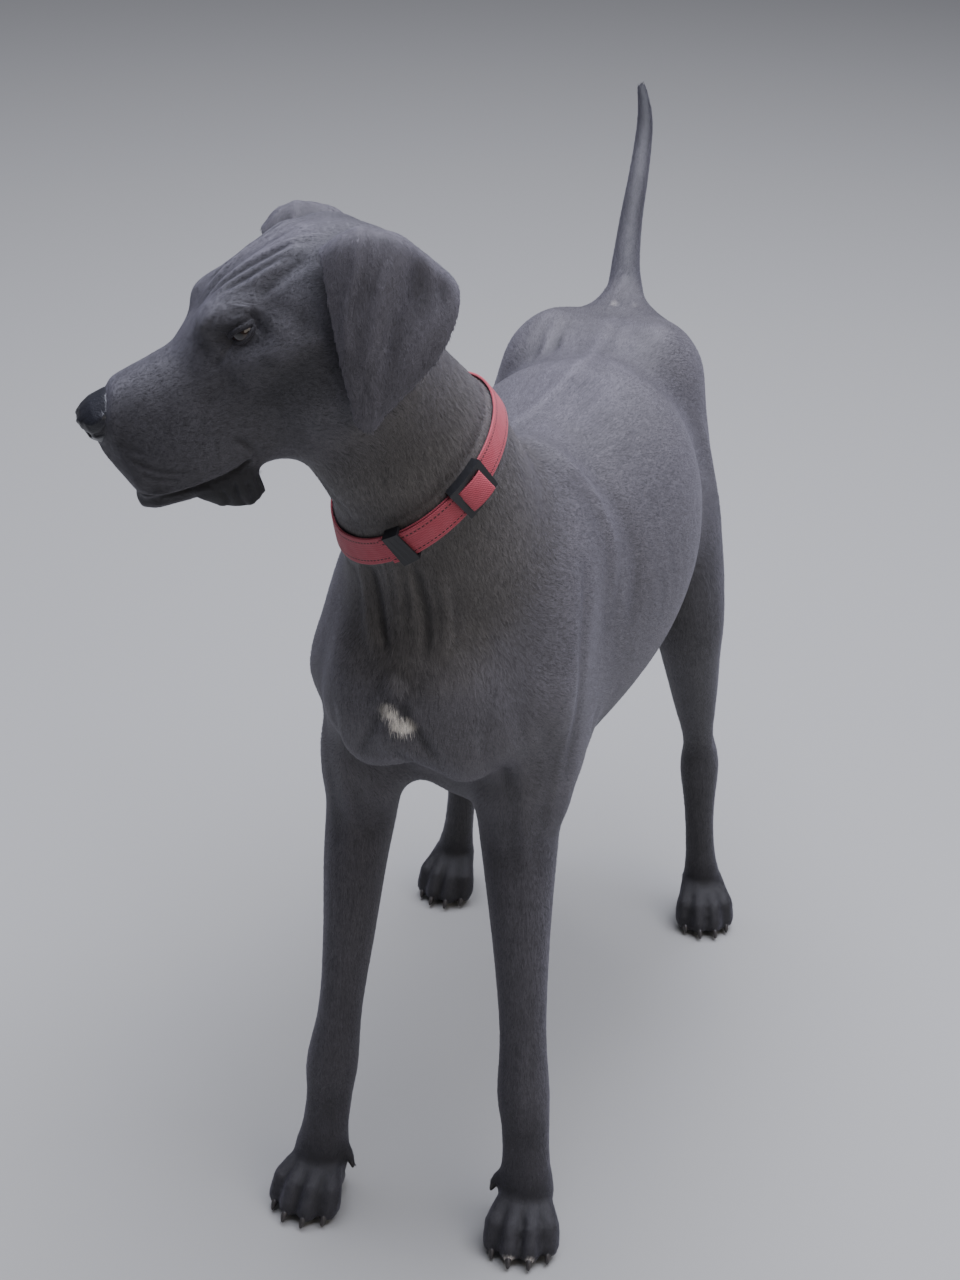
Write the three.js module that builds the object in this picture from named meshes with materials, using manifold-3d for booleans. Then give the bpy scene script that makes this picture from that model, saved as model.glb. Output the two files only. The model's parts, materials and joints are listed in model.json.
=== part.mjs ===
// A great dane standing alert, life size, with a webbing collar.
// Millimetres, +Z up. The dog faces -Y, its own left side is +X, and its soles rest on z = 0.
//
// The flesh is one smooth field: limbs and muscles are egg-shaped tubes and ellipsoids that melt into each
// other. Each named piece is a skin drawn round its own core line out to where that field ends, so that
// neighbours share one surface and part at thin flat seams.

import * as THREE from "three";
import { mergeVertices } from "three/addons/utils/BufferGeometryUtils.js";
import Module from "manifold-3d";

const wasm = await Module();
wasm.setup();

// Driving dimensions

const SEAM = 0.3; // gap between neighbouring pieces
const PASTERN = 70; // height of the seam above each paw
const EYE_RADIUS = 12.5;
const EAR_THICKNESS = 5;
const STRAP_WIDTH = 25;
const STRAP_THICKNESS = 2.4;

// The head's own frame: s runs from the back of the skull to the nose, l to the dog's left, v upwards.
const SKULL_BACK = new THREE.Vector3(11, -367, 1025);
const HEAD_TURN = 62.7; // degrees from straight ahead towards the dog's right
const HEAD_NOD = 22; // degrees of the muzzle below the level

const COAT = { color: "#59585e", roughness: 0.6, metalness: 0 };
const DARK_COAT = { color: "#3b3b40", roughness: 0.6, metalness: 0 };
const LEATHER_NOSE = { color: "#222328", roughness: 0.35, metalness: 0 };
const EYE = { color: "#2a1c12", roughness: 0.05, metalness: 0 };
const WEBBING = { color: "#b8404f", roughness: 0.8, metalness: 0 };
const BLACK_PLASTIC = { color: "#17181a", roughness: 0.45, metalness: 0 };

// Vectors

const vec = (x, y, z) => new THREE.Vector3(x, y, z);
const UP = vec(0, 0, 1);
const FORWARD = vec(0, -1, 0);

const turn = THREE.MathUtils.degToRad(HEAD_TURN);
const nod = THREE.MathUtils.degToRad(HEAD_NOD);
const HEAD_S = vec(-Math.sin(turn) * Math.cos(nod), -Math.cos(turn) * Math.cos(nod), -Math.sin(nod));
const HEAD_L = new THREE.Vector3().crossVectors(UP, HEAD_S).normalize();
const HEAD_V = new THREE.Vector3().crossVectors(HEAD_S, HEAD_L);
const HEAD_FRAME = new THREE.Matrix4().makeBasis(HEAD_S, HEAD_L, HEAD_V).setPosition(SKULL_BACK);
const HEAD_TURN_ONLY = new THREE.Matrix4().makeBasis(HEAD_S, HEAD_L, HEAD_V);

/** A point of the head's own frame in the part's frame. */
const onHead = (s, l, v) => vec(s, l, v).applyMatrix4(HEAD_FRAME);

/** A direction of the head's own frame in the part's frame. */
const alongHead = (s, l, v) => vec(s, l, v).applyMatrix4(HEAD_TURN_ONLY).normalize();

/** A smooth value between stations: x is a fractional index into the list. */
function between(list, x) {
  const last = list.length - 1;
  const i = Math.min(Math.max(Math.floor(x), 0), last - 1);
  const t = Math.min(Math.max(x - i, 0), 1);
  const at = (k) => list[Math.min(Math.max(k, 0), last)];
  const a = at(i - 1);
  const b = at(i);
  const c = at(i + 1);
  const d = at(i + 2);
  const slopeB = (c - a) / 2;
  const slopeC = (d - b) / 2;
  const t2 = t * t;
  const t3 = t2 * t;
  return b * (2 * t3 - 3 * t2 + 1) + slopeB * (t3 - 2 * t2 + t) + c * (3 * t2 - 2 * t3) + slopeC * (t3 - t2);
}

// The field: below zero inside the flesh, above zero outside, about one per millimetre

const FAR = 90; // beyond this a form has no pull on its neighbours
const STEPS_PER_STATION = 5;

/**
 * Samples along the core of a bent form. Each station is [x, y, z, side, front, back]: a core point, the half
 * width to both sides, and the reach towards and away from the front direction.
 */
function samplesOf(stations, front, stepsPerStation) {
  const columns = [0, 1, 2, 3, 4, 5].map((k) => stations.map((station) => station[k]));
  const place = (x) => vec(...columns.slice(0, 3).map((list) => between(list, x)));
  const count = (stations.length - 1) * stepsPerStation + 1;
  const samples = [];
  for (let i = 0; i < count; i++) {
    const x = i / stepsPerStation;
    const ahead = place(Math.min(x + 0.1, stations.length - 1));
    const behind = place(Math.max(x - 0.1, 0));
    const along = ahead.sub(behind).normalize();
    const face = front.clone().addScaledVector(along, -front.dot(along)).normalize();
    const side = new THREE.Vector3().crossVectors(along, face);
    samples.push({ at: place(x), along, face, side, size: columns.slice(3).map((list) => between(list, x)) });
  }
  return samples;
}

/** A bent tube as a field. */
function limb(stations, { front = FORWARD, power = 2, caps = [30, 30], blend = 30 } = {}) {
  const samples = samplesOf(stations, front, STEPS_PER_STATION);
  const count = samples.length;
  const points = samples.map((sample) => sample.at);
  const reach = Math.max(...samples.flatMap((sample) => sample.size));
  const ball = new THREE.Box3().setFromPoints(points).getBoundingSphere(new THREE.Sphere());
  const near = ball.radius + reach + FAR;

  function distance(x, y, z) {
    const bx = x - ball.center.x;
    const by = y - ball.center.y;
    const bz = z - ball.center.z;
    if (bx * bx + by * by + bz * bz > near * near) return FAR;
    let best = Infinity;
    let index = 0;
    let share = 0;
    for (let i = 0; i < count - 1; i++) {
      const a = samples[i].at;
      const b = samples[i + 1].at;
      const ex = b.x - a.x;
      const ey = b.y - a.y;
      const ez = b.z - a.z;
      const t = ((x - a.x) * ex + (y - a.y) * ey + (z - a.z) * ez) / (ex * ex + ey * ey + ez * ez);
      const held = Math.min(Math.max(t, 0), 1);
      const dx = x - a.x - ex * held;
      const dy = y - a.y - ey * held;
      const dz = z - a.z - ez * held;
      const d = dx * dx + dy * dy + dz * dz;
      if (d < best) {
        best = d;
        index = i;
        share = held;
      }
    }
    const a = samples[index];
    const b = samples[index + 1];
    const mix = (p, q) => p + (q - p) * share;
    const px = x - mix(a.at.x, b.at.x);
    const py = y - mix(a.at.y, b.at.y);
    const pz = z - mix(a.at.z, b.at.z);
    const dot = (p, q) => px * mix(p.x, q.x) + py * mix(p.y, q.y) + pz * mix(p.z, q.z);
    const u = Math.abs(dot(a.side, b.side)) / mix(a.size[0], b.size[0]);
    const forward = dot(a.face, b.face);
    const depth = forward > 0 ? mix(a.size[1], b.size[1]) : mix(a.size[2], b.size[2]);
    const v = Math.abs(forward) / depth;
    const width = mix(a.size[0], b.size[0]);
    let w = 0;
    let cap = 1;
    if (index === 0 && share === 0) {
      cap = caps[0];
      w = Math.max(0, -dot(a.along, a.along)) / cap;
    }
    if (index === count - 2 && share === 1) {
      cap = caps[1];
      w = Math.max(0, dot(b.along, b.along)) / cap;
    }
    const k = (u ** power + v ** power + w ** power) ** (1 / power);
    if (k < 1e-6) return -Math.min(width, depth);
    const gu = u ** (power - 1) / width;
    const gv = v ** (power - 1) / depth;
    const gw = w ** (power - 1) / cap;
    const slope = k ** (1 - power) * Math.sqrt(gu * gu + gv * gv + gw * gw);
    return Math.min((k - 1) / slope, FAR);
  }
  return { distance, blend, place: samples };
}

/** An ellipsoid: its centre, its three half sizes and the directions that they lie along. */
function muscle(centre, sizes, { axes = [vec(1, 0, 0), vec(0, 1, 0), UP], blend = 25 } = {}) {
  const near = Math.max(...sizes) + FAR;
  function distance(x, y, z) {
    const dx = x - centre.x;
    const dy = y - centre.y;
    const dz = z - centre.z;
    if (dx * dx + dy * dy + dz * dz > near * near) return FAR;
    let k0 = 0;
    let k1 = 0;
    for (let i = 0; i < 3; i++) {
      const q = (dx * axes[i].x + dy * axes[i].y + dz * axes[i].z) / sizes[i];
      k0 += q * q;
      k1 += (q / sizes[i]) ** 2;
    }
    k0 = Math.sqrt(k0);
    k1 = Math.sqrt(k1);
    return k1 < 1e-9 ? -Math.min(...sizes) : Math.min((k0 * (k0 - 1)) / k1, FAR);
  }
  return { distance, blend };
}

/** The forms melted into one: a form with a negative blend presses a hollow instead. */
function melt(forms) {
  return (x, y, z) => {
    let total = FAR;
    for (const { distance, blend, hollow } of forms) {
      const d = distance(x, y, z);
      const other = hollow ? -d : d;
      const h = Math.max(blend - Math.abs(total - other), 0) / blend;
      const soft = (h * h * blend) / 4;
      total = hollow ? Math.max(total, other) + soft : Math.min(total, other) - soft;
    }
    return total;
  };
}

// Torso

const SPINE = [
  // sideways bow, y, height of the widest line, half width, up to the back, down to the belly
  [-4, -330, 632, 78, 76, 82],
  [0, -262, 634, 100, 112, 132],
  [8, -175, 632, 111, 158, 204],
  [16, -70, 628, 130, 152, 196],
  [20, 40, 617, 140, 157, 174],
  [18, 130, 614, 131, 158, 138],
  [12, 205, 631, 109, 140, 102],
  [4, 285, 668, 92, 101, 98],
  [0, 345, 690, 82, 66, 94],
  [-2, 378, 698, 64, 46, 70],
];
const trunk = limb(SPINE, { front: UP, power: 2.15, caps: [62, 24], blend: 40 });

/** The forms that both sides of the trunk have. */
function flankForms(side) {
  const on = (x, y, z) => vec(side * x, y, z);
  const along = (a, b) => limb([a, b].map(([x, y, z, ...sizes]) => [side * x, y, z, ...sizes]), {
    caps: [34, 34],
    blend: 32,
  });
  return [
    // shoulder blade, from the withers down to the point of the shoulder
    limb(
      [
        [side * 46 + 8, -168, 752, 24, 42, 46],
        [side * 70 + 4, -222, 690, 32, 50, 58],
        [side * 80, -284, 616, 34, 44, 54],
      ],
      { caps: [40, 34], blend: 34 },
    ),
    // upper arm and the muscle behind it
    along([82, -264, 606, 34, 54, 62], [80, -232, 486, 34, 46, 58]),
    muscle(on(86, -196, 560), [30, 60, 88], { blend: 36 }),
    // breast muscle beside the breastbone
    muscle(on(42, -324, 606), [38, 46, 70], { blend: 26 }),
    // hip and buttock
    muscle(on(56, 268, 714), [34, 74, 46], { blend: 34 }),
    muscle(on(42, 366, 672), [34, 32, 52], { blend: 30 }),
  ];
}

const breastbone = muscle(vec(-2, -376, 612), [14, 18, 52], { blend: 22 });

// Legs: elbow to foot, or hip to foot, as core points with half widths

const FORELEG_LEFT = [
  [64, -234, 500, 40, 48, 58],
  [66, -224, 436, 38, 45, 53],
  [73, -235, 380, 33, 38, 41],
  [82, -247, 300, 26.5, 31, 31],
  [90, -257, 222, 23.5, 25.5, 25],
  [95, -263, 160, 27, 27, 27],
  [99, -264, 122, 25, 21, 24],
  [102, -266, 84, 25, 21, 23],
  [105, -269, 50, 29, 24, 24],
];
const FORELEG_RIGHT = [
  [-86, -236, 500, 35, 48, 58],
  [-88, -228, 436, 34, 44, 53],
  [-89, -242, 380, 31, 38, 41],
  [-89, -258, 300, 25.5, 31, 31],
  [-92, -271, 222, 22, 25, 25],
  [-97, -279, 160, 27, 27, 27],
  [-99, -281, 122, 24, 21, 24],
  [-102, -283, 84, 24.5, 21, 23],
  [-105, -285, 50, 29, 24, 24],
];
const HINDLEG_LEFT = [
  [56, 284, 690, 48, 76, 92],
  [78, 264, 600, 53, 84, 90],
  [105, 238, 520, 50, 66, 78],
  [126, 224, 458, 41, 42, 60],
  [129, 252, 396, 33, 36, 46],
  [131, 294, 316, 25.5, 26, 32],
  [133, 326, 250, 18.5, 18, 27],
  [135, 338, 206, 23.5, 23, 30],
  [139, 341, 150, 18.5, 19, 21],
  [144, 342, 95, 18, 17.5, 19],
  [150, 343, 50, 22.5, 20, 21],
];
const HINDLEG_RIGHT = [
  [-56, 278, 690, 48, 76, 92],
  [-74, 250, 600, 53, 84, 90],
  [-97, 212, 520, 50, 66, 78],
  [-116, 190, 458, 41, 42, 60],
  [-122, 216, 396, 33, 36, 46],
  [-129, 254, 316, 25.5, 26, 32],
  [-135, 284, 250, 18.5, 18, 27],
  [-138, 295, 206, 23.5, 23, 30],
  [-141, 297, 150, 18.5, 19, 21],
  [-144, 298, 95, 18, 17.5, 19],
  [-148, 299, 50, 22.5, 20, 21],
];
const legs = {
  foreleg_left: limb(FORELEG_LEFT, { caps: [40, 22], blend: 26 }),
  foreleg_right: limb(FORELEG_RIGHT, { caps: [40, 22], blend: 26 }),
  hindleg_left: limb(HINDLEG_LEFT, { caps: [50, 20], blend: 34 }),
  hindleg_right: limb(HINDLEG_RIGHT, { caps: [50, 20], blend: 34 }),
};

// Tail, carried back and a little up

const TAIL = [
  [4, 330, 728, 26, 26, 30],
  [-6, 392, 745, 23, 23, 26],
  [-20, 452, 762, 17, 17, 18],
  [-37, 540, 790, 14, 14, 14],
  [-50, 625, 824, 12.5, 12.5, 12.5],
  [-64, 700, 861, 10.5, 10.5, 10.5],
  [-82, 748, 889, 6.5, 6.5, 6.5],
];
const tail = limb(TAIL, { front: UP, caps: [30, 9], blend: 26 });

// Neck

const NECK = [
  [-52, -394, 956, 58, 64, 50],
  [-36, -366, 902, 71, 80, 68],
  [-10, -322, 832, 78, 88, 88],
  [2, -275, 744, 88, 110, 112],
  [4, -228, 670, 100, 134, 124],
];
const neck = limb(NECK, { caps: [28, 70], blend: 44 });

// Head

const HEAD_AXES = [HEAD_S, HEAD_L, HEAD_V];
const headMuscle = (s, l, v, sizes, blend) => muscle(onHead(s, l, v), sizes, { axes: HEAD_AXES, blend });

const MUZZLE = [
  // distance from the back of the skull, height of the widest line, half width, up, down
  [288, -38, 31, 45, 47],
  [262, -38, 38, 50, 58],
  [230, -38, 43, 53, 62],
  [200, -34, 46, 54, 66],
  [170, -24, 52, 62, 76],
  [135, -14, 60, 72, 84],
  [100, -8, 64, 72, 78],
];
const face = limb(
  MUZZLE.map(([s, v, wide, up, down]) => [...onHead(s, 0, v).toArray(), wide, up, down]),
  { front: HEAD_V, power: 2.5, caps: [13, 60], blend: 18 },
);

/** The forms that both sides of the head have: side is 1 on the left and -1 on the right. */
function cheekForms(side) {
  return [
    headMuscle(166, side * 33, 36, [24, 19, 13], 16), // brow
    headMuscle(side > 0 ? 52 : 74, side * 46, 34, [30, 17, 24], 18), // root of the ear
    headMuscle(116, side * 50, -2, [54, 20, 20], 20), // cheekbone
    headMuscle(92, side * 46, -44, [46, 24, 42], 22), // jaw muscle
    headMuscle(228, side * 31, -64, [54, 15, 34], 14), // hanging upper lip
    headMuscle(268, side * 13, -60, [31, 19, 26], 12), // front of the lip, below the nose
  ];
}

/** The hollow that each eye lies in. */
const eyeHollow = (side) => ({ ...headMuscle(157, side * 62, 24, [19, 13, 11], 8), hollow: true });

const headForms = [
  face,
  headMuscle(88, 0, 7, [76, 60, 54], 24),
  ...cheekForms(1),
  ...cheekForms(-1),
  eyeHollow(1),
  eyeHollow(-1),
];

const bodyForms = [
  trunk,
  ...flankForms(1),
  ...flankForms(-1),
  breastbone,
  neck,
  ...Object.values(legs),
  tail,
];
const bodyField = melt(bodyForms);
const headField = melt([...headForms, neck]);
const wholeField = melt([...headForms, ...bodyForms]);

// Solids

const solidOf = (geometry) => {
  const bare = geometry.clone();
  for (const name of Object.keys(bare.attributes)) if (name !== "position") bare.deleteAttribute(name);
  const merged = mergeVertices(bare, 1e-3);
  return new wasm.Manifold(
    new wasm.Mesh({
      numProp: 3,
      vertProperties: merged.attributes.position.array,
      triVerts: new Uint32Array(merged.index.array),
    }),
  );
};

/** A solid from points and triangles, turned to face out if it doesn't. */
function solidFrom(points, faces) {
  const make = (list) =>
    new wasm.Manifold(
      new wasm.Mesh({
        numProp: 3,
        vertProperties: new Float32Array(points.flatMap((p) => p.toArray())),
        triVerts: new Uint32Array(list.flat()),
      }),
    );
  const made = make(faces);
  return made.volume() > 0 ? made : make(faces.map(([a, b, c]) => [a, c, b]));
}

const geometryOf = (solid) => {
  const mesh = solid.getMesh();
  const places = new Float32Array(mesh.numVert * 3);
  for (let i = 0; i < mesh.numVert; i++) {
    places.set(mesh.vertProperties.subarray(i * mesh.numProp, i * mesh.numProp + 3), i * 3);
  }
  const geometry = new THREE.BufferGeometry();
  geometry.setAttribute("position", new THREE.BufferAttribute(places, 3));
  geometry.setIndex(new THREE.BufferAttribute(new Uint32Array(mesh.triVerts), 1));
  geometry.computeVertexNormals();
  return geometry;
};

/** Only the largest closed body of a solid. */
function largest(solid) {
  const bodies = solid.decompose();
  return bodies.reduce((best, body) => (body.volume() > best.volume() ? body : best));
}

/** All that lies on the side of a plane that its normal points to. */
function beyond(normal, point) {
  const size = 3000;
  const box = new THREE.BoxGeometry(size, size, size);
  box.translate(0, 0, size / 2);
  box.applyQuaternion(new THREE.Quaternion().setFromUnitVectors(UP, normal.clone().normalize()));
  box.translate(point.x, point.y, point.z);
  return solidOf(box);
}

// Skins

const STRIDE = 5;
const LONGEST_SPOKE = 420;

/** How far a spoke runs from a point inside the field until it leaves it. */
function spokeLength(field, from, along) {
  const at = (r) => field(from.x + along.x * r, from.y + along.y * r, from.z + along.z * r);
  if (at(0) > 0) return 0.5;
  let inside = 0;
  let outside = STRIDE;
  while (outside < LONGEST_SPOKE && at(outside) < 0) {
    inside = outside;
    outside += STRIDE;
  }
  for (let i = 0; i < 12; i++) {
    const middle = (inside + outside) / 2;
    if (at(middle) < 0) inside = middle;
    else outside = middle;
  }
  return (inside + outside) / 2;
}

/** A ring station: a centre, and two directions that span its plane. */
function station(centre, normal, reference) {
  const up = reference.clone().addScaledVector(normal, -reference.dot(normal)).normalize();
  return { centre, normal, up, side: new THREE.Vector3().crossVectors(normal, up) };
}

/**
 * A closed solid from rings of points. The two ends run to tip points, or a loft without tips closes on
 * itself. A thin sheet's rings run along one face and back along the other: they are split alike on both,
 * and its two ends are closed from face to face.
 */
function loft(rings, tips, { sheet = false } = {}) {
  const points = rings.flat();
  const size = rings[0].length;
  const faces = [];
  const last = tips || sheet ? rings.length - 1 : rings.length;
  for (let i = 0; i < last; i++) {
    for (let j = 0; j < size; j++) {
      const next = ((i + 1) % rings.length) * size;
      const a = i * size + j;
      const b = i * size + ((j + 1) % size);
      const c = next + j;
      const d = next + ((j + 1) % size);
      const shorter = points[a].distanceTo(points[d]) < points[b].distanceTo(points[c]);
      const first = sheet ? j < size / 2 : shorter;
      if (first) faces.push([a, b, d], [a, d, c]);
      else faces.push([a, b, c], [b, d, c]);
    }
  }
  if (tips) {
    points.push(...tips);
    const start = (rings.length - 1) * size;
    for (let j = 0; j < size; j++) {
      const k = (j + 1) % size;
      faces.push([points.length - 2, k, j], [points.length - 1, start + j, start + k]);
    }
  }
  const end = (rings.length - 1) * size;
  for (let j = 0; sheet && j < size / 2 - 1; j++) {
    const [a, b, c, d] = [j, j + 1, size - 2 - j, size - 1 - j];
    faces.push([a, c, b], [a, d, c], [end + a, end + b, end + c], [end + a, end + c, end + d]);
  }
  return solidFrom(points, faces);
}

/** A bent solid of few sides, from the same kind of stations as a limb. */
function tube(stations, { front = UP, sides = 8, steps = 2, caps = [3, 3] } = {}) {
  const samples = samplesOf(stations, front, steps);
  const rings = samples.map(({ at, face, side, size: [width, ahead, behind] }) => {
    const ring = [];
    for (let j = 0; j < sides; j++) {
      const angle = (2 * Math.PI * (j + 0.5)) / sides;
      const lift = Math.cos(angle) * (Math.cos(angle) > 0 ? ahead : behind);
      ring.push(at.clone().addScaledVector(face, lift).addScaledVector(side, Math.sin(angle) * width));
    }
    return ring;
  });
  const start = samples[0];
  const end = samples[samples.length - 1];
  return loft(rings, [
    start.at.clone().addScaledVector(start.along, -caps[0]),
    end.at.clone().addScaledVector(end.along, caps[1]),
  ]);
}

/**
 * A skin over the field: a ring of spokes at each station. An end is flat, or runs on to the field's own
 * end, where it closes in a point.
 */
function skin(field, stations, spokes, { flatStart = true, flatEnd = true } = {}) {
  const rings = stations.map(({ centre, up, side }) => {
    const ring = [];
    for (let j = 0; j < spokes; j++) {
      const angle = (2 * Math.PI * j) / spokes;
      const along = up.clone().multiplyScalar(Math.cos(angle)).addScaledVector(side, Math.sin(angle));
      ring.push(centre.clone().addScaledVector(along, spokeLength(field, centre, along)));
    }
    return ring;
  });
  const tip = ({ centre, normal }, flat, sign) => {
    const along = normal.clone().multiplyScalar(sign);
    return centre.clone().addScaledVector(along, flat ? 0 : spokeLength(field, centre, along));
  };
  return loft(rings, [tip(stations[0], flatStart, -1), tip(stations[stations.length - 1], flatEnd, 1)]);
}

/** A skin over the field by cubes: one point in each cube that the surface passes, drawn onto the surface. */
function netSkin(field, low, high, cell) {
  const size = ["x", "y", "z"].map((axis) => Math.ceil((high[axis] - low[axis]) / cell[axis]));
  const [nx, ny, nz] = size;
  const value = new Float64Array((nx + 1) * (ny + 1) * (nz + 1));
  const at = (i, j, k) => i + (nx + 1) * (j + (ny + 1) * k);
  const place = (i, j, k) => vec(low.x + i * cell.x, low.y + j * cell.y, low.z + k * cell.z);
  for (let k = 0; k <= nz; k++) {
    for (let j = 0; j <= ny; j++) {
      for (let i = 0; i <= nx; i++) {
        const p = place(i, j, k);
        value[at(i, j, k)] = field(p.x, p.y, p.z);
      }
    }
  }
  const corners = [];
  for (let c = 0; c < 8; c++) corners.push([c & 1, (c >> 1) & 1, (c >> 2) & 1]);
  const edges = [];
  for (let a = 0; a < 8; a++) {
    for (let b = a + 1; b < 8; b++) {
      const apart = corners[a].reduce((sum, value_, n) => sum + Math.abs(value_ - corners[b][n]), 0);
      if (apart === 1) edges.push([a, b]);
    }
  }
  const points = [];
  const pointOf = new Map();
  for (let k = 0; k < nz; k++) {
    for (let j = 0; j < ny; j++) {
      for (let i = 0; i < nx; i++) {
        const sum = vec(0, 0, 0);
        let crossings = 0;
        for (const [a, b] of edges) {
          const [ax, ay, az] = corners[a];
          const [bx, by, bz] = corners[b];
          const va = value[at(i + ax, j + ay, k + az)];
          const vb = value[at(i + bx, j + by, k + bz)];
          if (va < 0 === vb < 0) continue;
          sum.add(place(i + ax, j + ay, k + az).lerp(place(i + bx, j + by, k + bz), va / (va - vb)));
          crossings += 1;
        }
        if (!crossings) continue;
        pointOf.set(at(i, j, k), points.length);
        points.push(drawnOnto(field, sum.divideScalar(crossings)));
      }
    }
  }
  const faces = [];
  const quad = (a, b, c, d, flip) => {
    const [p, q, r, s] = [a, b, c, d].map((index) => pointOf.get(index));
    const ring = flip ? [p, s, r, q] : [p, q, r, s];
    const shortFirst = points[ring[0]].distanceTo(points[ring[2]]) < points[ring[1]].distanceTo(points[ring[3]]);
    if (shortFirst) faces.push([ring[0], ring[1], ring[2]], [ring[0], ring[2], ring[3]]);
    else faces.push([ring[1], ring[2], ring[3]], [ring[1], ring[3], ring[0]]);
  };
  for (let k = 0; k < nz; k++) {
    for (let j = 0; j < ny; j++) {
      for (let i = 0; i < nx; i++) {
        const here = value[at(i, j, k)] < 0;
        if (j && k && here !== value[at(i + 1, j, k)] < 0) {
          quad(at(i, j - 1, k - 1), at(i, j, k - 1), at(i, j, k), at(i, j - 1, k), !here);
        }
        if (i && k && here !== value[at(i, j + 1, k)] < 0) {
          quad(at(i - 1, j, k - 1), at(i - 1, j, k), at(i, j, k), at(i, j, k - 1), !here);
        }
        if (i && j && here !== value[at(i, j, k + 1)] < 0) {
          quad(at(i - 1, j - 1, k), at(i, j - 1, k), at(i, j, k), at(i - 1, j, k), !here);
        }
      }
    }
  }
  const edgesSeen = new Set();
  for (const [a, b, c] of faces) {
    for (const [from, to] of [[a, b], [b, c], [c, a]]) {
      const key = from * points.length + to;
      if (edgesSeen.has(key)) return null;
      edgesSeen.add(key);
    }
  }
  return solidFrom(points, faces);
}

/** The first net whose cubes, a little shifted and scaled each time, give a clean closed surface. */
function closedNet(field, low, high, cell) {
  const shifts = 5;
  for (let scale = 1; scale > 0.85; scale -= 0.03) {
    for (let n = 0; n < shifts; n++) {
      const size = vec(cell.x, cell.y, cell.z).multiplyScalar(scale);
      const corner = vec(n / shifts, ((2 * n) % shifts) / shifts, ((3 * n) % shifts) / shifts).multiply(size);
      const net = netSkin(field, low.clone().sub(corner), high, size);
      if (net) return net;
    }
  }
  throw new Error("no net closed cleanly");
}

/** A point moved along the field's slope onto its surface, in a few short steps. */
function drawnOnto(field, point) {
  const p = point.clone();
  const d = 0.5;
  for (let i = 0; i < 3; i++) {
    const here = field(p.x, p.y, p.z);
    const slope = vec(
      field(p.x + d, p.y, p.z) - field(p.x - d, p.y, p.z),
      field(p.x, p.y + d, p.z) - field(p.x, p.y - d, p.z),
      field(p.x, p.y, p.z + d) - field(p.x, p.y, p.z - d),
    ).divideScalar(2 * d);
    const steep = Math.max(slope.lengthSq(), 0.2);
    const move = Math.min(Math.max(here, -6), 6);
    p.addScaledVector(slope, -move / steep);
  }
  return p;
}

// Seams: planes between a limb and the torso. Each normal points from the torso into the limb.

/** A leg's seam through a point: its height grows by rise per millimetre outwards and by tilt backwards. */
const legSeam = (side, x, y, z, rise, tilt) => ({
  point: vec(side * x, y, z),
  normal: vec(side * rise, tilt, -1).normalize(),
});
const seams = {
  foreleg_left: legSeam(1, 42, -220, 452, 0.58, -0.2),
  foreleg_right: legSeam(-1, 42, -220, 452, 0.58, -0.2),
  hindleg_left: legSeam(1, 20, 250, 498, 0.62, 0.42),
  hindleg_right: legSeam(-1, 20, 250, 498, 0.62, 0.42),
};
const tailSeam = { point: vec(-6, 396, 747), normal: vec(-0.22, 0.93, 0.28).normalize() };
const neckSeam = { point: vec(0, -288, 728), normal: vec(0, -0.591, 0.806).normalize() };
const headSeam = { point: onHead(74, 0, -62), normal: alongHead(-0.503, 0, -0.864) };

const STUB = 60; // how far the torso's field runs past each seam before it is cut
const pastSeam = ({ point, normal }, x, y, z) =>
  (x - point.x) * normal.x + (y - point.y) * normal.y + (z - point.z) * normal.z;

/** The torso's field: the whole body, with short stubs in place of the limbs and the neck. */
function torsoField(x, y, z) {
  let stub = Math.max(pastSeam(neckSeam, x, y, z), pastSeam(tailSeam, x, y, z));
  for (const [name, seam] of Object.entries(seams)) {
    const front = name.startsWith("fore");
    const sameSide = seam.point.x * x > 0;
    if (sameSide && front === y < 0) stub = Math.max(stub, pastSeam(seam, x, y, z));
  }
  return Math.max(bodyField(x, y, z), stub - STUB);
}

function makeTorso() {
  let torso = closedNet(torsoField, vec(-200, -440, 360), vec(200, 470, 880), { x: 24, y: 28, z: 23 });
  const gap = SEAM / 2;
  for (const seam of Object.values(seams)) {
    const half = beyond(seam.normal, seam.point.clone().addScaledVector(seam.normal, -gap));
    const ownSide = beyond(vec(Math.sign(seam.point.x), 0, 0), vec(0, 0, 0));
    const front = seam.point.y < 0;
    const ownEnd = beyond(vec(0, front ? -1 : 1, 0), vec(0, front ? 20 : 110, 0));
    torso = torso.subtract(half.intersect(ownSide).intersect(ownEnd));
  }
  for (const seam of [neckSeam, tailSeam]) {
    torso = torso.subtract(beyond(seam.normal, seam.point.clone().addScaledVector(seam.normal, -gap)));
  }
  return largest(torso);
}

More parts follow.
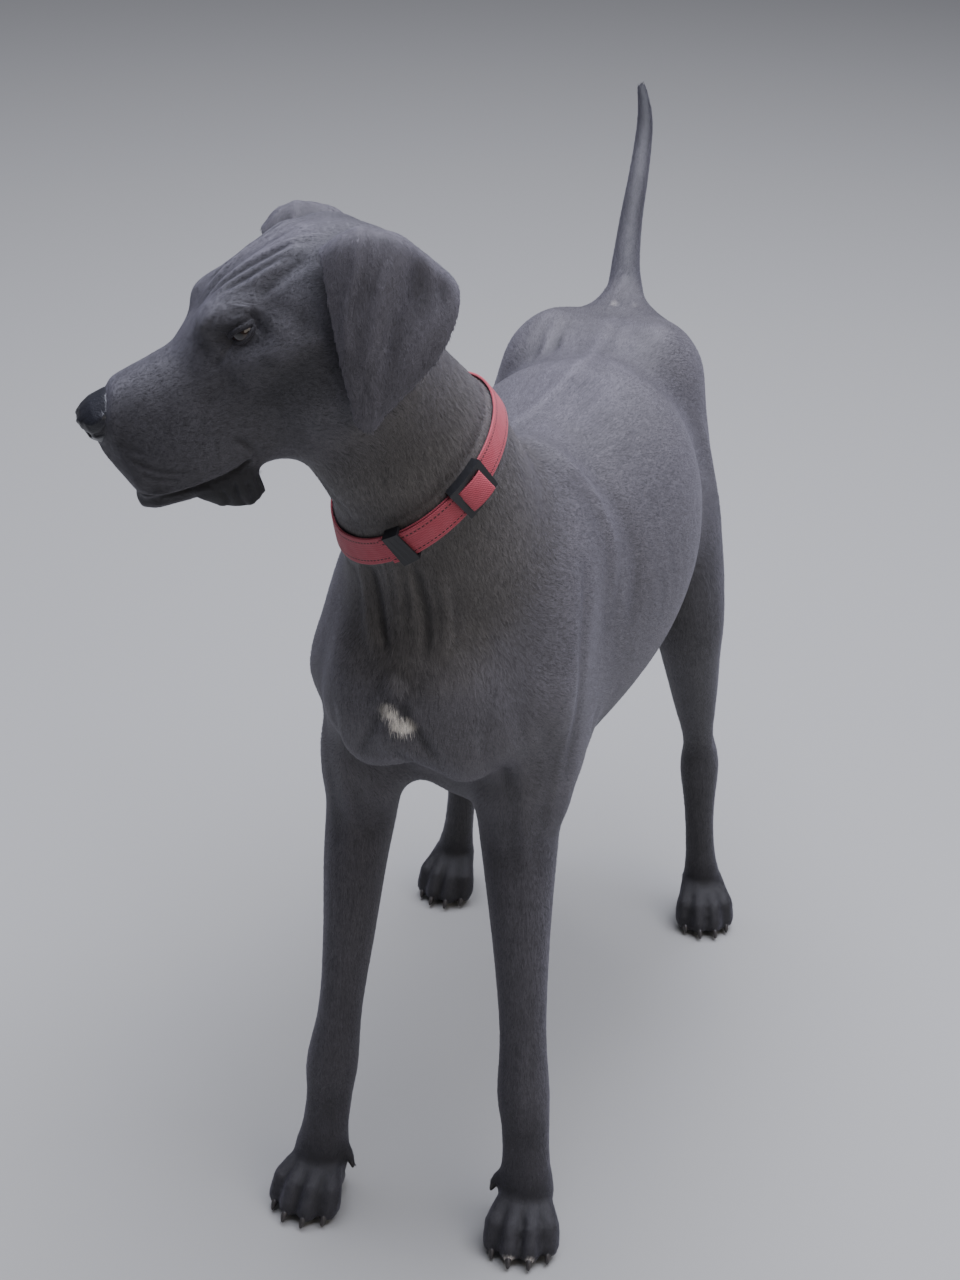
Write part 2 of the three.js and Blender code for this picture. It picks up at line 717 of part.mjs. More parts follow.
/** Ring stations along a form's core from one seam to another, turning from plane to plane. */
function stationsAlong(form, start, end, count, reference, blendShare = 0.22) {
  const samples = form.place;
  const crossing = (plane, from) => {
    for (let i = from; i < samples.length - 1; i++) {
      const a = pastSeam(plane, ...samples[i].at.toArray());
      const b = pastSeam(plane, ...samples[i + 1].at.toArray());
      if (a <= 0 !== b <= 0) return i + a / (a - b);
    }
    throw new Error("the core doesn't cross the seam");
  };
  const first = crossing(start, 0);
  const last = crossing(end, Math.floor(first));
  const list = [];
  for (let n = 0; n < count; n++) {
    const f = n / (count - 1);
    const x = first + (last - first) * f;
    const i = Math.min(Math.floor(x), samples.length - 2);
    const centre = samples[i].at.clone().lerp(samples[i + 1].at, x - i);
    const along = samples[i].along.clone().lerp(samples[i + 1].along, x - i);
    const toStart = Math.max(0, 1 - f / blendShare);
    const toEnd = Math.max(0, 1 - (1 - f) / blendShare);
    const normal = along
      .multiplyScalar(1 - toStart - toEnd)
      .addScaledVector(start.normal, toStart)
      .addScaledVector(end.normal, toEnd)
      .normalize();
    list.push(station(centre, normal, reference));
  }
  return list;
}

const shifted = ({ point, normal }, by) => ({ point: point.clone().addScaledVector(normal, by), normal });

const OWN_REACH = 16; // how far a limb's skin may stand off its own form where it melts into a neighbour
const pasternSeam = { point: vec(0, 0, PASTERN), normal: vec(0, 0, -1) };

function makeLeg(name, rings, spokes) {
  const start = shifted(seams[name], SEAM / 2);
  const end = shifted(pasternSeam, -SEAM / 2);
  const stations = stationsAlong(legs[name], start, end, rings, FORWARD);
  const own = (x, y, z) => Math.max(bodyField(x, y, z), legs[name].distance(x, y, z) - OWN_REACH);
  return skin(own, stations, spokes);
}

/** The neck, from the skull to the shoulders, or with its surface moved out by a small margin. */
function makeNeck(margin = 0) {
  const end = { point: neckSeam.point, normal: neckSeam.normal.clone().negate() };
  const stations = stationsAlong(neck, shifted(headSeam, SEAM / 2), shifted(end, -SEAM / 2), 15, FORWARD, 0.5);
  return skin((x, y, z) => wholeField(x, y, z) - margin, stations, 32);
}

/** The tail, from the croup to its tip. */
function makeTail() {
  const tip = tail.place[tail.place.length - 1];
  const end = { point: tip.at.clone().addScaledVector(tip.along, -1), normal: tip.along };
  const stations = stationsAlong(tail, shifted(tailSeam, SEAM / 2), end, 20, UP);
  const own = (x, y, z) => Math.max(bodyField(x, y, z), tail.distance(x, y, z) - OWN_REACH / 2);
  return skin(own, stations, 10, { flatEnd: false });
}

// Head

const THROAT = [186, -127]; // the head's rings fan out round this point behind the jaw
const HEAD_SPOKES = 36;

/** Rings along the muzzle, then a fan of rings over the skull to the neck. */
function headStations() {
  const list = [];
  const muzzleRings = 15;
  const front = 283;
  for (let n = 0; n < muzzleRings; n++) {
    const s = front + ((THROAT[0] - front) * n) / muzzleRings;
    const v = THREE.MathUtils.mapLinear(s, front, THROAT[0], -38, -34);
    list.push(station(onHead(s, 0, v), alongHead(-1, 0, 0), HEAD_V));
  }
  const fanRings = 24;
  const lastAngle = 149.85;
  for (let n = 0; n < fanRings; n++) {
    const f = n / (fanRings - 1);
    const angle = THREE.MathUtils.degToRad(90 + (lastAngle - 90) * f);
    const reach = THREE.MathUtils.lerp(93, 129, f);
    const centre = onHead(THROAT[0] + Math.cos(angle) * reach, 0, THROAT[1] + Math.sin(angle) * reach);
    const normal = alongHead(-Math.sin(angle), 0, Math.cos(angle));
    list.push(station(centre, normal, alongHead(Math.cos(angle), 0, Math.sin(angle))));
  }
  const last = list[list.length - 1];
  last.centre.addScaledVector(last.normal, -pastSeam(headSeam, ...last.centre.toArray()) - SEAM / 2);
  return list;
}

const MOUTH_LINE = -83; // height of the upper lips' edge
const MOUTH_CORNER = 190; // how far forward of the skull's back the mouth ends
const FAR_AHEAD = 340; // beyond the nose

/** A box in the head's frame. */
function headBox(sFrom, sTo, half, vFrom, vTo) {
  const box = new THREE.BoxGeometry(sTo - sFrom, half * 2, vTo - vFrom);
  box.translate((sFrom + sTo) / 2, 0, (vFrom + vTo) / 2);
  box.applyMatrix4(HEAD_FRAME);
  return solidOf(box);
}

/** Stations given in the head's frame as [s, l, v, side, up, down], in the part's frame. */
const headPath = (stations) => stations.map(([s, l, v, ...sizes]) => [...onHead(s, l, v).toArray(), ...sizes]);

// Eyes and lids

const EYE_DETAIL = 2;
const eyeCentre = (side) => onHead(155, side * 41.5, 24);

function eyeball(side, radius) {
  const ball = new THREE.IcosahedronGeometry(radius, EYE_DETAIL);
  const centre = eyeCentre(side);
  ball.translate(centre.x, centre.y, centre.z);
  return solidOf(ball);
}

/** A lid round the eye's front: its middle stands lift degrees above or below the line of sight. */
function lid(side, lift, thickness) {
  const sight = alongHead(0.38, side * 0.92, 0.04);
  const across = alongHead(0.92, -side * 0.38, -0.12);
  const above = new THREE.Vector3().crossVectors(sight, across).multiplyScalar(-side);
  const reach = EYE_RADIUS + 1.6;
  const half = 72;
  const stations = [];
  for (let degrees = -half; degrees <= half; degrees += half / 3) {
    const a = THREE.MathUtils.degToRad(degrees);
    const e = THREE.MathUtils.degToRad(lift * Math.cos((a * 90) / half));
    const at = eyeCentre(side)
      .addScaledVector(sight, reach * Math.cos(a) * Math.cos(e))
      .addScaledVector(across, reach * Math.sin(a) * Math.cos(e))
      .addScaledVector(above, reach * Math.sin(e));
    stations.push([...at.toArray(), thickness, thickness, thickness]);
  }
  return tube(stations, { front: sight, sides: 6, steps: 1, caps: [1, 1] });
}

// Nose, lower jaw and head

const noseBack = { point: onHead(280, 0, -7), normal: alongHead(0.883, 0, 0.468) };
const NOSE_BOTTOM = -30;

/** All that is taken out of the muzzle's end for the nose. */
function noseRoom() {
  return beyond(noseBack.normal, noseBack.point).intersect(headBox(250, FAR_AHEAD, 60, NOSE_BOTTOM, 60));
}

function makeNose() {
  let nose = tube(
    headPath([
      [262, 0, -10, 23, 15, 24],
      [277, 0, -11, 25, 16, 25],
      [290, 0, -12, 25, 15.5, 23],
      [298, 0, -13, 22, 13, 19],
      [303.5, 0, -14, 14, 9, 14],
    ]),
    { front: HEAD_V, sides: 14, steps: 1, caps: [2, 1.2] },
  );
  const behind = noseBack.point.clone().addScaledVector(noseBack.normal, SEAM);
  nose = nose.subtract(beyond(noseBack.normal.clone().negate(), behind));
  nose = nose.subtract(headBox(230, FAR_AHEAD, 60, -90, NOSE_BOTTOM + SEAM));
  for (const side of [1, -1]) {
    const nostril = [
      [287, side * 19, -13, 3, 4, 4],
      [297, side * 14, -17, 4.5, 4.5, 4.5],
      [309, side * 10, -18, 6, 5, 5],
    ];
    nose = nose.subtract(tube(headPath(nostril), { front: HEAD_V, sides: 7, steps: 1, caps: [1, 1] }));
  }
  return largest(nose);
}

function makeJaw() {
  const chin = [
    [178, 0, -92, 33, 20, 14],
    [212, 0, -93, 33, 20, 12],
    [250, 0, -92, 29, 20, 12],
    [276, 0, -90, 24, 20, 12],
    [288, 0, -88, 15, 20, 10],
  ];
  let jaw = tube(headPath(chin), { front: HEAD_V, sides: 14, steps: 1, caps: [2, 3] });
  for (const side of [1, -1]) {
    const lip = [
      [182, side * 31, -90, 5, 10, 20],
      [207, side * 35, -94, 6, 12, 28],
      [226, side * 33, -93, 5.5, 11, 21],
      [242, side * 29, -91, 4, 8, 9],
    ];
    jaw = jaw.add(tube(headPath(lip), { front: HEAD_V, steps: 1, caps: [2, 3] }));
  }
  jaw = jaw.subtract(headBox(150, MOUTH_CORNER + SEAM, 60, -160, 0));
  jaw = jaw.subtract(headBox(150, FAR_AHEAD, 60, MOUTH_LINE - SEAM, 0));
  return largest(jaw);
}

/** The head's skin, or the same with its surface moved out by a small margin. */
const headSkin = (margin = 0) =>
  skin((x, y, z) => headField(x, y, z) - margin, headStations(), HEAD_SPOKES, { flatStart: false });

function makeHead() {
  let head = headSkin();
  head = head.subtract(headBox(MOUTH_CORNER, FAR_AHEAD, 60, -160, MOUTH_LINE));
  head = head.subtract(noseRoom());
  for (const side of [1, -1]) {
    head = head.add(lid(side, 27, 3.4)).add(lid(side, -24, 3));
    head = head.subtract(eyeball(side, EYE_RADIUS + SEAM));
  }
  return largest(head);
}

// Ears: folded forward and hanging beside the cheek, as points [s, l, v] of the left ear

const EAR_FRONT = [
  [76, 42, 58],
  [82, 76, 62],
  [95, 89, 4],
  [106, 89, -62],
];
const EAR_MIDDLE = [
  [42, 46, 58],
  [32, 82, 60],
  [66, 97, -4],
  [99, 91, -74],
];
const EAR_REAR = [
  [0, 46, 14],
  [-6, 74, -6],
  [26, 88, -40],
  [91, 90, -73],
];
const RIGHT_EAR_FORWARD = 44; // the right ear is pricked further forward than the left
const RIGHT_EAR_LIFT = -18;
const EAR_ROWS = 9;
const EAR_COLUMNS = 8;

/** An ear whose root sits further forward and higher than the lists say by the two given amounts. */
function makeEar(side, flesh, forward, lift) {
  const edge = (list, u) => {
    const [s, l, v] = [0, 1, 2].map((k) => between(list.map((p) => p[k]), u * (list.length - 1)));
    return vec(s + forward * (1 - 0.6 * u), l, v + lift * (1 - u));
  };
  const sheetAt = (u, t) => {
    const front = edge(EAR_FRONT, u);
    const middle = edge(EAR_MIDDLE, u);
    const rear = edge(EAR_REAR, u);
    return front
      .multiplyScalar((1 - t) * (1 - 2 * t))
      .addScaledVector(middle, 4 * t * (1 - t))
      .addScaledVector(rear, t * (2 * t - 1));
  };
  const rings = [];
  for (let i = 0; i < EAR_ROWS; i++) {
    const u = i / (EAR_ROWS - 1);
    const step = 0.05;
    const down = sheetAt(Math.min(u + step, 1), 0.5).sub(sheetAt(Math.max(u - step, 0), 0.5));
    const back = sheetAt(u, 1).sub(sheetAt(u, 0));
    const out = new THREE.Vector3().crossVectors(down, back).normalize();
    const outer = [];
    const inner = [];
    for (let j = 0; j < EAR_COLUMNS; j++) {
      const t = j / (EAR_COLUMNS - 1);
      const half = (EAR_THICKNESS / 2) * (0.5 + 0.5 * Math.sin(Math.PI * t)) * (1 - 0.2 * u);
      outer.push(sheetAt(u, t).addScaledVector(out, half));
      inner.unshift(sheetAt(u, t).addScaledVector(out, -half));
    }
    rings.push([...outer, ...inner].map((p) => onHead(p.x, side * p.y, p.z)));
  }
  return largest(loft(rings, null, { sheet: true }).subtract(flesh));
}

// Paws: the pastern's foot, a palm, four arched toes with claws, and the dewclaw on a foreleg

const TOE_HALF_WIDTH = 11;
const paws = {
  foreleg_left: { core: FORELEG_LEFT, toes: [117, -331], width: 76, dewclaw: true },
  foreleg_right: { core: FORELEG_RIGHT, toes: [-112, -344], width: 76, dewclaw: true },
  hindleg_left: { core: HINDLEG_LEFT, toes: [171, 291], width: 70, dewclaw: false },
  hindleg_right: { core: HINDLEG_RIGHT, toes: [-150, 244], width: 70, dewclaw: false },
};

function makePaw({ core, toes, width, dewclaw }) {
  const [x, y] = core[core.length - 1];
  const ahead = vec(toes[0] - x, toes[1] - y, 0);
  const reach = ahead.length();
  ahead.normalize();
  const across = new THREE.Vector3().crossVectors(ahead, UP);
  const at = (a, b, z) => vec(x, y, z).addScaledVector(ahead, a).addScaledVector(across, b).toArray();
  const path = (stations) => stations.map(([a, b, z, ...sizes]) => [...at(a, b, z), ...sizes]);
  const pieces = [];
  const foot = [...at(6, 0, 24), 27, 24, 20];
  pieces.push(tube([...core.slice(-3), foot], { front: FORWARD, sides: 14, steps: 1, caps: [2, 8] }));
  const palm = [
    [-25, 0, 12, 14, 15, 13],
    [-11, 0, 16, 23, 22, 17],
    [7, 0, 17, 26, 24, 18],
    [26, 0, 15, 22, 20, 16],
  ];
  pieces.push(tube(path(palm), { sides: 10, steps: 1, caps: [4, 4] }));
  const midfoot = [
    [-6, 0, 54, 24, 15, 16],
    [reach * 0.2, 0, 44, 29, 15, 18],
    [reach * 0.42, 0, 34, 31, 14, 18],
    [reach * 0.58, 0, 26, 28, 10, 14],
  ];
  pieces.push(tube(path(midfoot), { sides: 10, steps: 1, caps: [3, 4] }));
  const outermost = width / 2 - TOE_HALF_WIDTH + 0.5;
  for (const [share, shorter] of [[-1, 12], [-0.37, 0], [0.37, 0], [1, 12]]) {
    const b = share * outermost;
    const tip = reach - shorter;
    const toe = [
      [0, b * 0.5, 42, 9, 12, 12],
      [tip * 0.36, b * 0.76, 40, 10.5, 13, 18],
      [tip * 0.64, b * 0.96, 31, TOE_HALF_WIDTH + 0.5, 14, 22],
      [tip - 10, b * 1.03, 16, TOE_HALF_WIDTH, 14, 17],
      [tip - 2, b, 10, 9, 10, 11],
    ];
    pieces.push(tube(path(toe), { sides: 7, steps: 1, caps: [2, 4] }));
    const claw = [
      [tip - 8, b, 12, 4, 4, 4],
      [tip + 3, b, 10, 3.2, 3.6, 3.6],
      [tip + 7, b, 4.5, 1.5, 2, 2],
    ];
    pieces.push(tube(path(claw), { sides: 5, steps: 1, caps: [1, 1.5] }));
  }
  if (dewclaw) {
    const inner = Math.sign(x);
    const toe = [
      [-2, inner * 18, 66, 7, 7, 7],
      [-2, inner * 28, 58, 7, 7, 7],
      [-1, inner * 34, 51, 4.5, 4.5, 4.5],
      [0, inner * 38, 43, 1.5, 1.5, 1.5],
    ];
    pieces.push(tube(path(toe), { front: vec(0, -1, 0.3), sides: 5, steps: 1, caps: [1, 2] }));
  }
  let paw = pieces.reduce((sum, piece) => sum.add(piece));
  paw = paw.subtract(beyond(vec(0, 0, -1), vec(0, 0, 0)));
  paw = paw.subtract(beyond(UP, vec(0, 0, PASTERN - SEAM / 2)));
  return largest(paw);
}

// Collar: a webbing strap, its end laid back over itself, a narrow keeper and a slider

const collarCentre = vec(-7, -320, 837);
const collarNormal = vec(-0.52, -0.41, 0.746).normalize();
const collarFront = FORWARD.clone().addScaledVector(collarNormal, -FORWARD.dot(collarNormal)).normalize();
const collarSide = new THREE.Vector3().crossVectors(collarNormal, collarFront);
const STRAP_CLEARANCE = 3; // the strap lies on the coat
const STRAP_SEGMENTS = 44;
const LAYER_GAP = 0.95; // between the strap, its laid back end and the plastic round them
const NECK_SIZE = 82; // mean distance of the strap from the neck's core

/** A point of the collar: round the neck by an angle, across the strap, and a lift off the neck. */
function onCollar(angle, across, lift) {
  const along = collarFront
    .clone()
    .multiplyScalar(Math.cos(angle))
    .addScaledVector(collarSide, Math.sin(angle));
  const from = (shift) => collarCentre.clone().addScaledVector(collarNormal, shift);
  const edge = STRAP_WIDTH / 2;
  const low = spokeLength(wholeField, from(-edge), along);
  const high = spokeLength(wholeField, from(edge), along);
  const reach = THREE.MathUtils.mapLinear(across, -edge, edge, low, high) + lift;
  return from(across).addScaledVector(along, reach);
}

const collarAngle = (x, y, z) => {
  const p = vec(x, y, z).sub(collarCentre);
  return Math.atan2(p.dot(collarSide), p.dot(collarFront));
};
const KEEPER_ANGLE = collarAngle(4, -396, 798);
const SLIDER_ANGLE = collarAngle(57, -364, 827);

const strapRing = (angle, half, low, high) => [
  onCollar(angle, -half, low),
  onCollar(angle, half, low),
  onCollar(angle, half, high),
  onCollar(angle, -half, high),
];

/** A piece of webbing or plastic that follows the collar from one angle to another. */
function collarPiece(from, to, half, low, high, count) {
  const rings = [];
  for (let i = 0; i < count; i++) rings.push(strapRing(from + ((to - from) * i) / (count - 1), half, low, high));
  const middleOf = (ring) => ring[0].clone().lerp(ring[2], 0.5);
  return loft(rings, [middleOf(rings[0]), middleOf(rings[count - 1])]);
}

const FIRST_LAYER = STRAP_CLEARANCE + STRAP_THICKNESS;
const SECOND_LAYER = FIRST_LAYER + LAYER_GAP + STRAP_THICKNESS;

function makeStrap() {
  const rings = [];
  for (let i = 0; i < STRAP_SEGMENTS; i++) {
    const angle = (2 * Math.PI * i) / STRAP_SEGMENTS;
    rings.push(strapRing(angle, STRAP_WIDTH / 2, STRAP_CLEARANCE, FIRST_LAYER));
  }
  return loft(rings, null);
}

/** A loop of plastic round both layers of the strap, with a window in its front where that is given. */
function makeSlide(angle, length, wall, windowLength) {
  const half = length / 2 / NECK_SIZE;
  const low = STRAP_CLEARANCE - LAYER_GAP;
  const high = SECOND_LAYER + LAYER_GAP;
  const side = STRAP_WIDTH / 2 + LAYER_GAP;
  let slide = collarPiece(angle - half, angle + half, side + wall, low - 1, high + wall * 0.7, 4);
  slide = slide.subtract(collarPiece(angle - half * 2, angle + half * 2, side, low, high, 10));
  if (windowLength) {
    const open = windowLength / 2 / NECK_SIZE;
    slide = slide.subtract(collarPiece(angle - open, angle + open, side - 1.5, high - 1, high + 12, 4));
  }
  return largest(slide);
}

// The whole dog

const group = new THREE.Group();
function put(name, solid, finish) {
  const clean = largest(solidOf(geometryOf(solid)));
  const mesh = new THREE.Mesh(geometryOf(clean), new THREE.MeshStandardMaterial(finish));
  mesh.name = name;
  group.add(mesh);
}

const flesh = headSkin(SEAM).add(makeNeck(SEAM));
put("torso", makeTorso(), COAT);
put("neck", makeNeck(), COAT);
put("head", makeHead(), COAT);
put("lower_jaw", makeJaw(), DARK_COAT);
put("nose", makeNose(), LEATHER_NOSE);
put("tail", makeTail(), DARK_COAT);
for (const side of [1, -1]) {
  const hand = side > 0 ? "left" : "right";
  put(`eye_${hand}`, eyeball(side, EYE_RADIUS), EYE);
  const [forward, lift] = side > 0 ? [0, 0] : [RIGHT_EAR_FORWARD, RIGHT_EAR_LIFT];
  put(`ear_${hand}`, makeEar(side, flesh, forward, lift), COAT);
  put(`foreleg_${hand}`, makeLeg(`foreleg_${hand}`, 21, 14), COAT);
  put(`hindleg_${hand}`, makeLeg(`hindleg_${hand}`, 25, 14), COAT);
  put(`forepaw_${hand}`, makePaw(paws[`foreleg_${hand}`]), DARK_COAT);
  put(`hindpaw_${hand}`, makePaw(paws[`hindleg_${hand}`]), DARK_COAT);
}
put("collar_strap", makeStrap(), WEBBING);
const foldHalf = STRAP_WIDTH / 2;
const foldFrom = KEEPER_ANGLE - 0.16;
const foldTo = SLIDER_ANGLE + 0.16;
put("collar_end", collarPiece(foldFrom, foldTo, foldHalf, FIRST_LAYER + LAYER_GAP, SECOND_LAYER, 12), WEBBING);
put("collar_keeper", makeSlide(KEEPER_ANGLE, 13, 2.4, 0), BLACK_PLASTIC);
put("collar_slider", makeSlide(SLIDER_ANGLE, 33, 3.2, 22), BLACK_PLASTIC);

// The origin lies on the floor, under the middle of the dog's bounding box.
const middle = new THREE.Box3().setFromObject(group).getCenter(vec(0, 0, 0));
group.position.set(-middle.x, -middle.y, 0);

export default group;
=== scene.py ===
"""The looks of a great dane that stands alert in a webbing collar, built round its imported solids.

Blender works in metres. Sizes and places that describe the animal are millimetres, in one of two frames:
the body's, where the dog faces -y and its left is +x, and the head's, where s runs from the back of the
skull to the nose, l to the dog's left and v upwards.
"""

from __future__ import annotations

import json
import logging
import math
from dataclasses import dataclass, field, replace
from enum import Enum
from typing import Iterable, Sequence

import bmesh
import bpy
import numpy as np
from mathutils import Matrix, Vector
from mathutils.kdtree import KDTree

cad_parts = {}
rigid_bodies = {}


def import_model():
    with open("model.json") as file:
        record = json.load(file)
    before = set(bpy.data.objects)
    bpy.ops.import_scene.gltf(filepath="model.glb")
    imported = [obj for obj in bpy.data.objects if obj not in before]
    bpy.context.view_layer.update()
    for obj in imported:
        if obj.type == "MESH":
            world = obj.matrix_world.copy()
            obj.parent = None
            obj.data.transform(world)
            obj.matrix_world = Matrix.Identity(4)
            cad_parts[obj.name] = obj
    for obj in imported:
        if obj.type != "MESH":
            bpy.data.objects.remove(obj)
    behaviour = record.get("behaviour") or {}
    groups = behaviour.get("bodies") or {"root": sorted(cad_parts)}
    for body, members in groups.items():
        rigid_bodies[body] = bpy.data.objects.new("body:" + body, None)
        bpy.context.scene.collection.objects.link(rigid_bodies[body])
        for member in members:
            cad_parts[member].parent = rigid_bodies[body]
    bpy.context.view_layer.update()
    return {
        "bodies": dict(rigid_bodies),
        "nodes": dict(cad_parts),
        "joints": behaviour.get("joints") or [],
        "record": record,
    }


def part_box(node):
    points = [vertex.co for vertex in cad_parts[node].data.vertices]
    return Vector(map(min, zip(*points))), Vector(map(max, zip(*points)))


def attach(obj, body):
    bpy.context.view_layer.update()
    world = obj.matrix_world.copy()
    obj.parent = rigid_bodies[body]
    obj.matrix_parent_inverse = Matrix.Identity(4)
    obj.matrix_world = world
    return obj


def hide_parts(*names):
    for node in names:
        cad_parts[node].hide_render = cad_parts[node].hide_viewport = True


log = logging.getLogger("great_dane")

MM = 0.001
BODY = "root"

# Places that the solids and the looks share, in millimetres
SKULL_BACK = (11.0, -367.0, 1025.0)
HEAD_TURN = 62.7  # degrees from straight ahead towards the dog's right
HEAD_NOD = 22.0  # degrees of the muzzle below the level
EYE_PLACE = (155.0, 41.5, 24.0)
EYE_RADIUS = 12.5
COLLAR_CENTRE = (-7.0, -320.0, 837.0)
COLLAR_NORMAL = (-0.52, -0.41, 0.746)
STRAP_WIDTH = 25.0


def srgb(code: str, alpha: float = 1.0) -> tuple[float, float, float, float]:
    """A colour in linear light.

    Args:
        code: the sRGB colour as "#rrggbb".
        alpha: its opacity.

    Returns:
        Red, green, blue and alpha.
    """
    values = [int(code[i : i + 2], 16) / 255 for i in (1, 3, 5)]
    linear = [c / 12.92 if c <= 0.04045 else ((c + 0.055) / 1.055) ** 2.4 for c in values]
    return (linear[0], linear[1], linear[2], alpha)


def ease(values: np.ndarray | float) -> np.ndarray | float:
    """A smooth step from 0 to 1, flat outside that span."""
    t = np.clip(values, 0.0, 1.0)
    return t * t * (3 - 2 * t)


def unit(vectors: np.ndarray) -> np.ndarray:
    """Vectors scaled to a length of one."""
    length = np.linalg.norm(vectors, axis=-1, keepdims=True)
    return vectors / np.maximum(length, 1e-12)


# Frames


@dataclass(frozen=True)
class LocalFrame:
    """A frame on the dog, in millimetres.

    Attributes:
        origin: its zero, in metres in the part's frame.
        axes: its three unit vectors, as rows.
    """

    origin: np.ndarray
    axes: np.ndarray

    def inward(self, points: np.ndarray) -> np.ndarray:
        """Points of the part's frame, in this frame's millimetres."""
        return (points - self.origin) @ self.axes.T / MM

    def outward(self, points: np.ndarray | Sequence[float]) -> np.ndarray:
        """Points of this frame, in the part's metres."""
        return np.asarray(points, float) * MM @ self.axes + self.origin

    def turned(self, vectors: np.ndarray | Sequence[float]) -> np.ndarray:
        """Directions of this frame, in the part's frame."""
        return np.asarray(vectors, float) @ self.axes


@dataclass(frozen=True)
class Anatomy:
    """The two frames that the animal is described in."""

    body: LocalFrame
    head: LocalFrame

    @staticmethod
    def found() -> Anatomy:
        """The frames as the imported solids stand: the left eye says where the body's zero is.

        Returns:
            The body's frame and the head's.
        """
        turn, nod = math.radians(HEAD_TURN), math.radians(HEAD_NOD)
        s = np.array([-math.sin(turn) * math.cos(nod), -math.cos(turn) * math.cos(nod), -math.sin(nod)])
        left = unit(np.cross([0, 0, 1], s))
        axes = np.array([s, left, np.cross(s, left)])
        low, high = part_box("eye_left")
        eye = (np.array(low) + np.array(high)) / 2
        head = LocalFrame(eye - np.array(EYE_PLACE) * MM @ axes, axes)
        body = LocalFrame(head.origin - np.array(SKULL_BACK) * MM, np.eye(3))
        return Anatomy(body, head)


# Node trees


def add_node(
    tree: bpy.types.NodeTree,
    kind: str,
    settings: dict[str | int, object] | None = None,
    links: dict[str | int, bpy.types.NodeSocket] | None = None,
) -> bpy.types.Node:
    """Adds a node with its settings and links.

    Args:
        tree: the node tree.
        kind: the node's type, such as "ShaderNodeBump".
        settings: values of its inputs, by name or number, or of its own properties.
        links: the sockets that feed its inputs, by the input's name or number.

    Returns:
        The new node.
    """
    node = tree.nodes.new(kind)
    for key, value in (settings or {}).items():
        if isinstance(key, int) or key in node.inputs:
            node.inputs[key].default_value = value
        else:
            setattr(node, key, value)
    for key, source in (links or {}).items():
        tree.links.new(source, node.inputs[key])
    return node


def new_material(name: str) -> tuple[bpy.types.Material, bpy.types.NodeTree]:
    """An empty material and its node tree."""
    material = bpy.data.materials.new(name)
    material.use_nodes = True
    material.node_tree.nodes.clear()
    return material, material.node_tree


def surface(tree: bpy.types.NodeTree, shader: bpy.types.Node) -> None:
    """Leads a shader to the material's output."""
    add_node(tree, "ShaderNodeOutputMaterial", links={"Surface": shader.outputs[0]})


@dataclass(frozen=True)
class ShortFur:
    """A great dane's coat: short, dense, glossy guard hairs that lie flat.

    Close up it is fine streaks along the lie of the coat. Strands are drawn wider than real hairs, so that
    they show. Low light across it gives a soft pale sheen.
    """

    strand: float = 1.1
    streak: float = 0.46
    relief: float = 0.45
    roughness: float = 0.56
    moist_roughness: float = 0.3
    sheen: float = 0.22
    sheen_tint: str = "#c9c6dc"

    def material(self, name: str, bumpy: bool) -> bpy.types.Material:
        """The coat's material.

        Args:
            name: the material's name.
            bumpy: whether the strands also stand in relief, as on the skin.

        Returns:
            The material, which reads the attributes coat, strand and moist.
        """
        material, tree = new_material(name)
        coat = add_node(tree, "ShaderNodeAttribute", {"attribute_name": "coat"})
        strand = add_node(tree, "ShaderNodeAttribute", {"attribute_name": "strand"})
        moist = add_node(tree, "ShaderNodeAttribute", {"attribute_name": "moist"})
        fine = add_node(
            tree,
            "ShaderNodeTexNoise",
            {"Scale": 1 / self.strand, "Detail": 3.0, "Roughness": 0.62},
            {"Vector": strand.outputs["Vector"]},
        )
        broad = add_node(
            tree,
            "ShaderNodeTexNoise",
            {"Scale": 0.16 / self.strand, "Detail": 2.0, "Roughness": 0.5},
            {"Vector": strand.outputs["Vector"]},
        )
        hairs = add_node(
            tree,
            "ShaderNodeMapRange",
            {"From Min": 0.3, "From Max": 0.7, "To Min": 1 - self.streak, "To Max": 1 + self.streak},
            {"Value": fine.outputs["Fac"]},
        )
        locks = add_node(
            tree,
            "ShaderNodeMapRange",
            {"From Min": 0.3, "From Max": 0.7, "To Min": 0.8, "To Max": 1.2},
            {"Value": broad.outputs["Fac"]},
        )
        shade = add_node(
            tree,
            "ShaderNodeMath",
            {"operation": "MULTIPLY"},
            {0: hairs.outputs["Result"], 1: locks.outputs["Result"]},
        )
        colour = add_node(
            tree,
            "ShaderNodeVectorMath",
            {"operation": "SCALE"},
            {0: coat.outputs["Vector"], "Scale": shade.outputs[0]},
        )
        rough = add_node(
            tree,
            "ShaderNodeMapRange",
            {"To Min": self.roughness, "To Max": self.moist_roughness},
            {"Value": moist.outputs["Fac"]},
        )
        shader = add_node(
            tree,
            "ShaderNodeBsdfPrincipled",
            {
                "IOR": 1.5,
                "Specular IOR Level": 0.42,
                "Sheen Weight": self.sheen,
                "Sheen Roughness": 0.45,
                "Sheen Tint": srgb(self.sheen_tint),
            },
            {"Base Color": colour.outputs[0], "Roughness": rough.outputs["Result"]},
        )
        if bumpy:
            bump = add_node(
                tree,
                "ShaderNodeBump",
                {"Strength": 0.75, "Distance": self.relief * MM},
                {"Height": fine.outputs["Fac"]},
            )
            tree.links.new(bump.outputs["Normal"], shader.inputs["Normal"])
        surface(tree, shader)
        return material


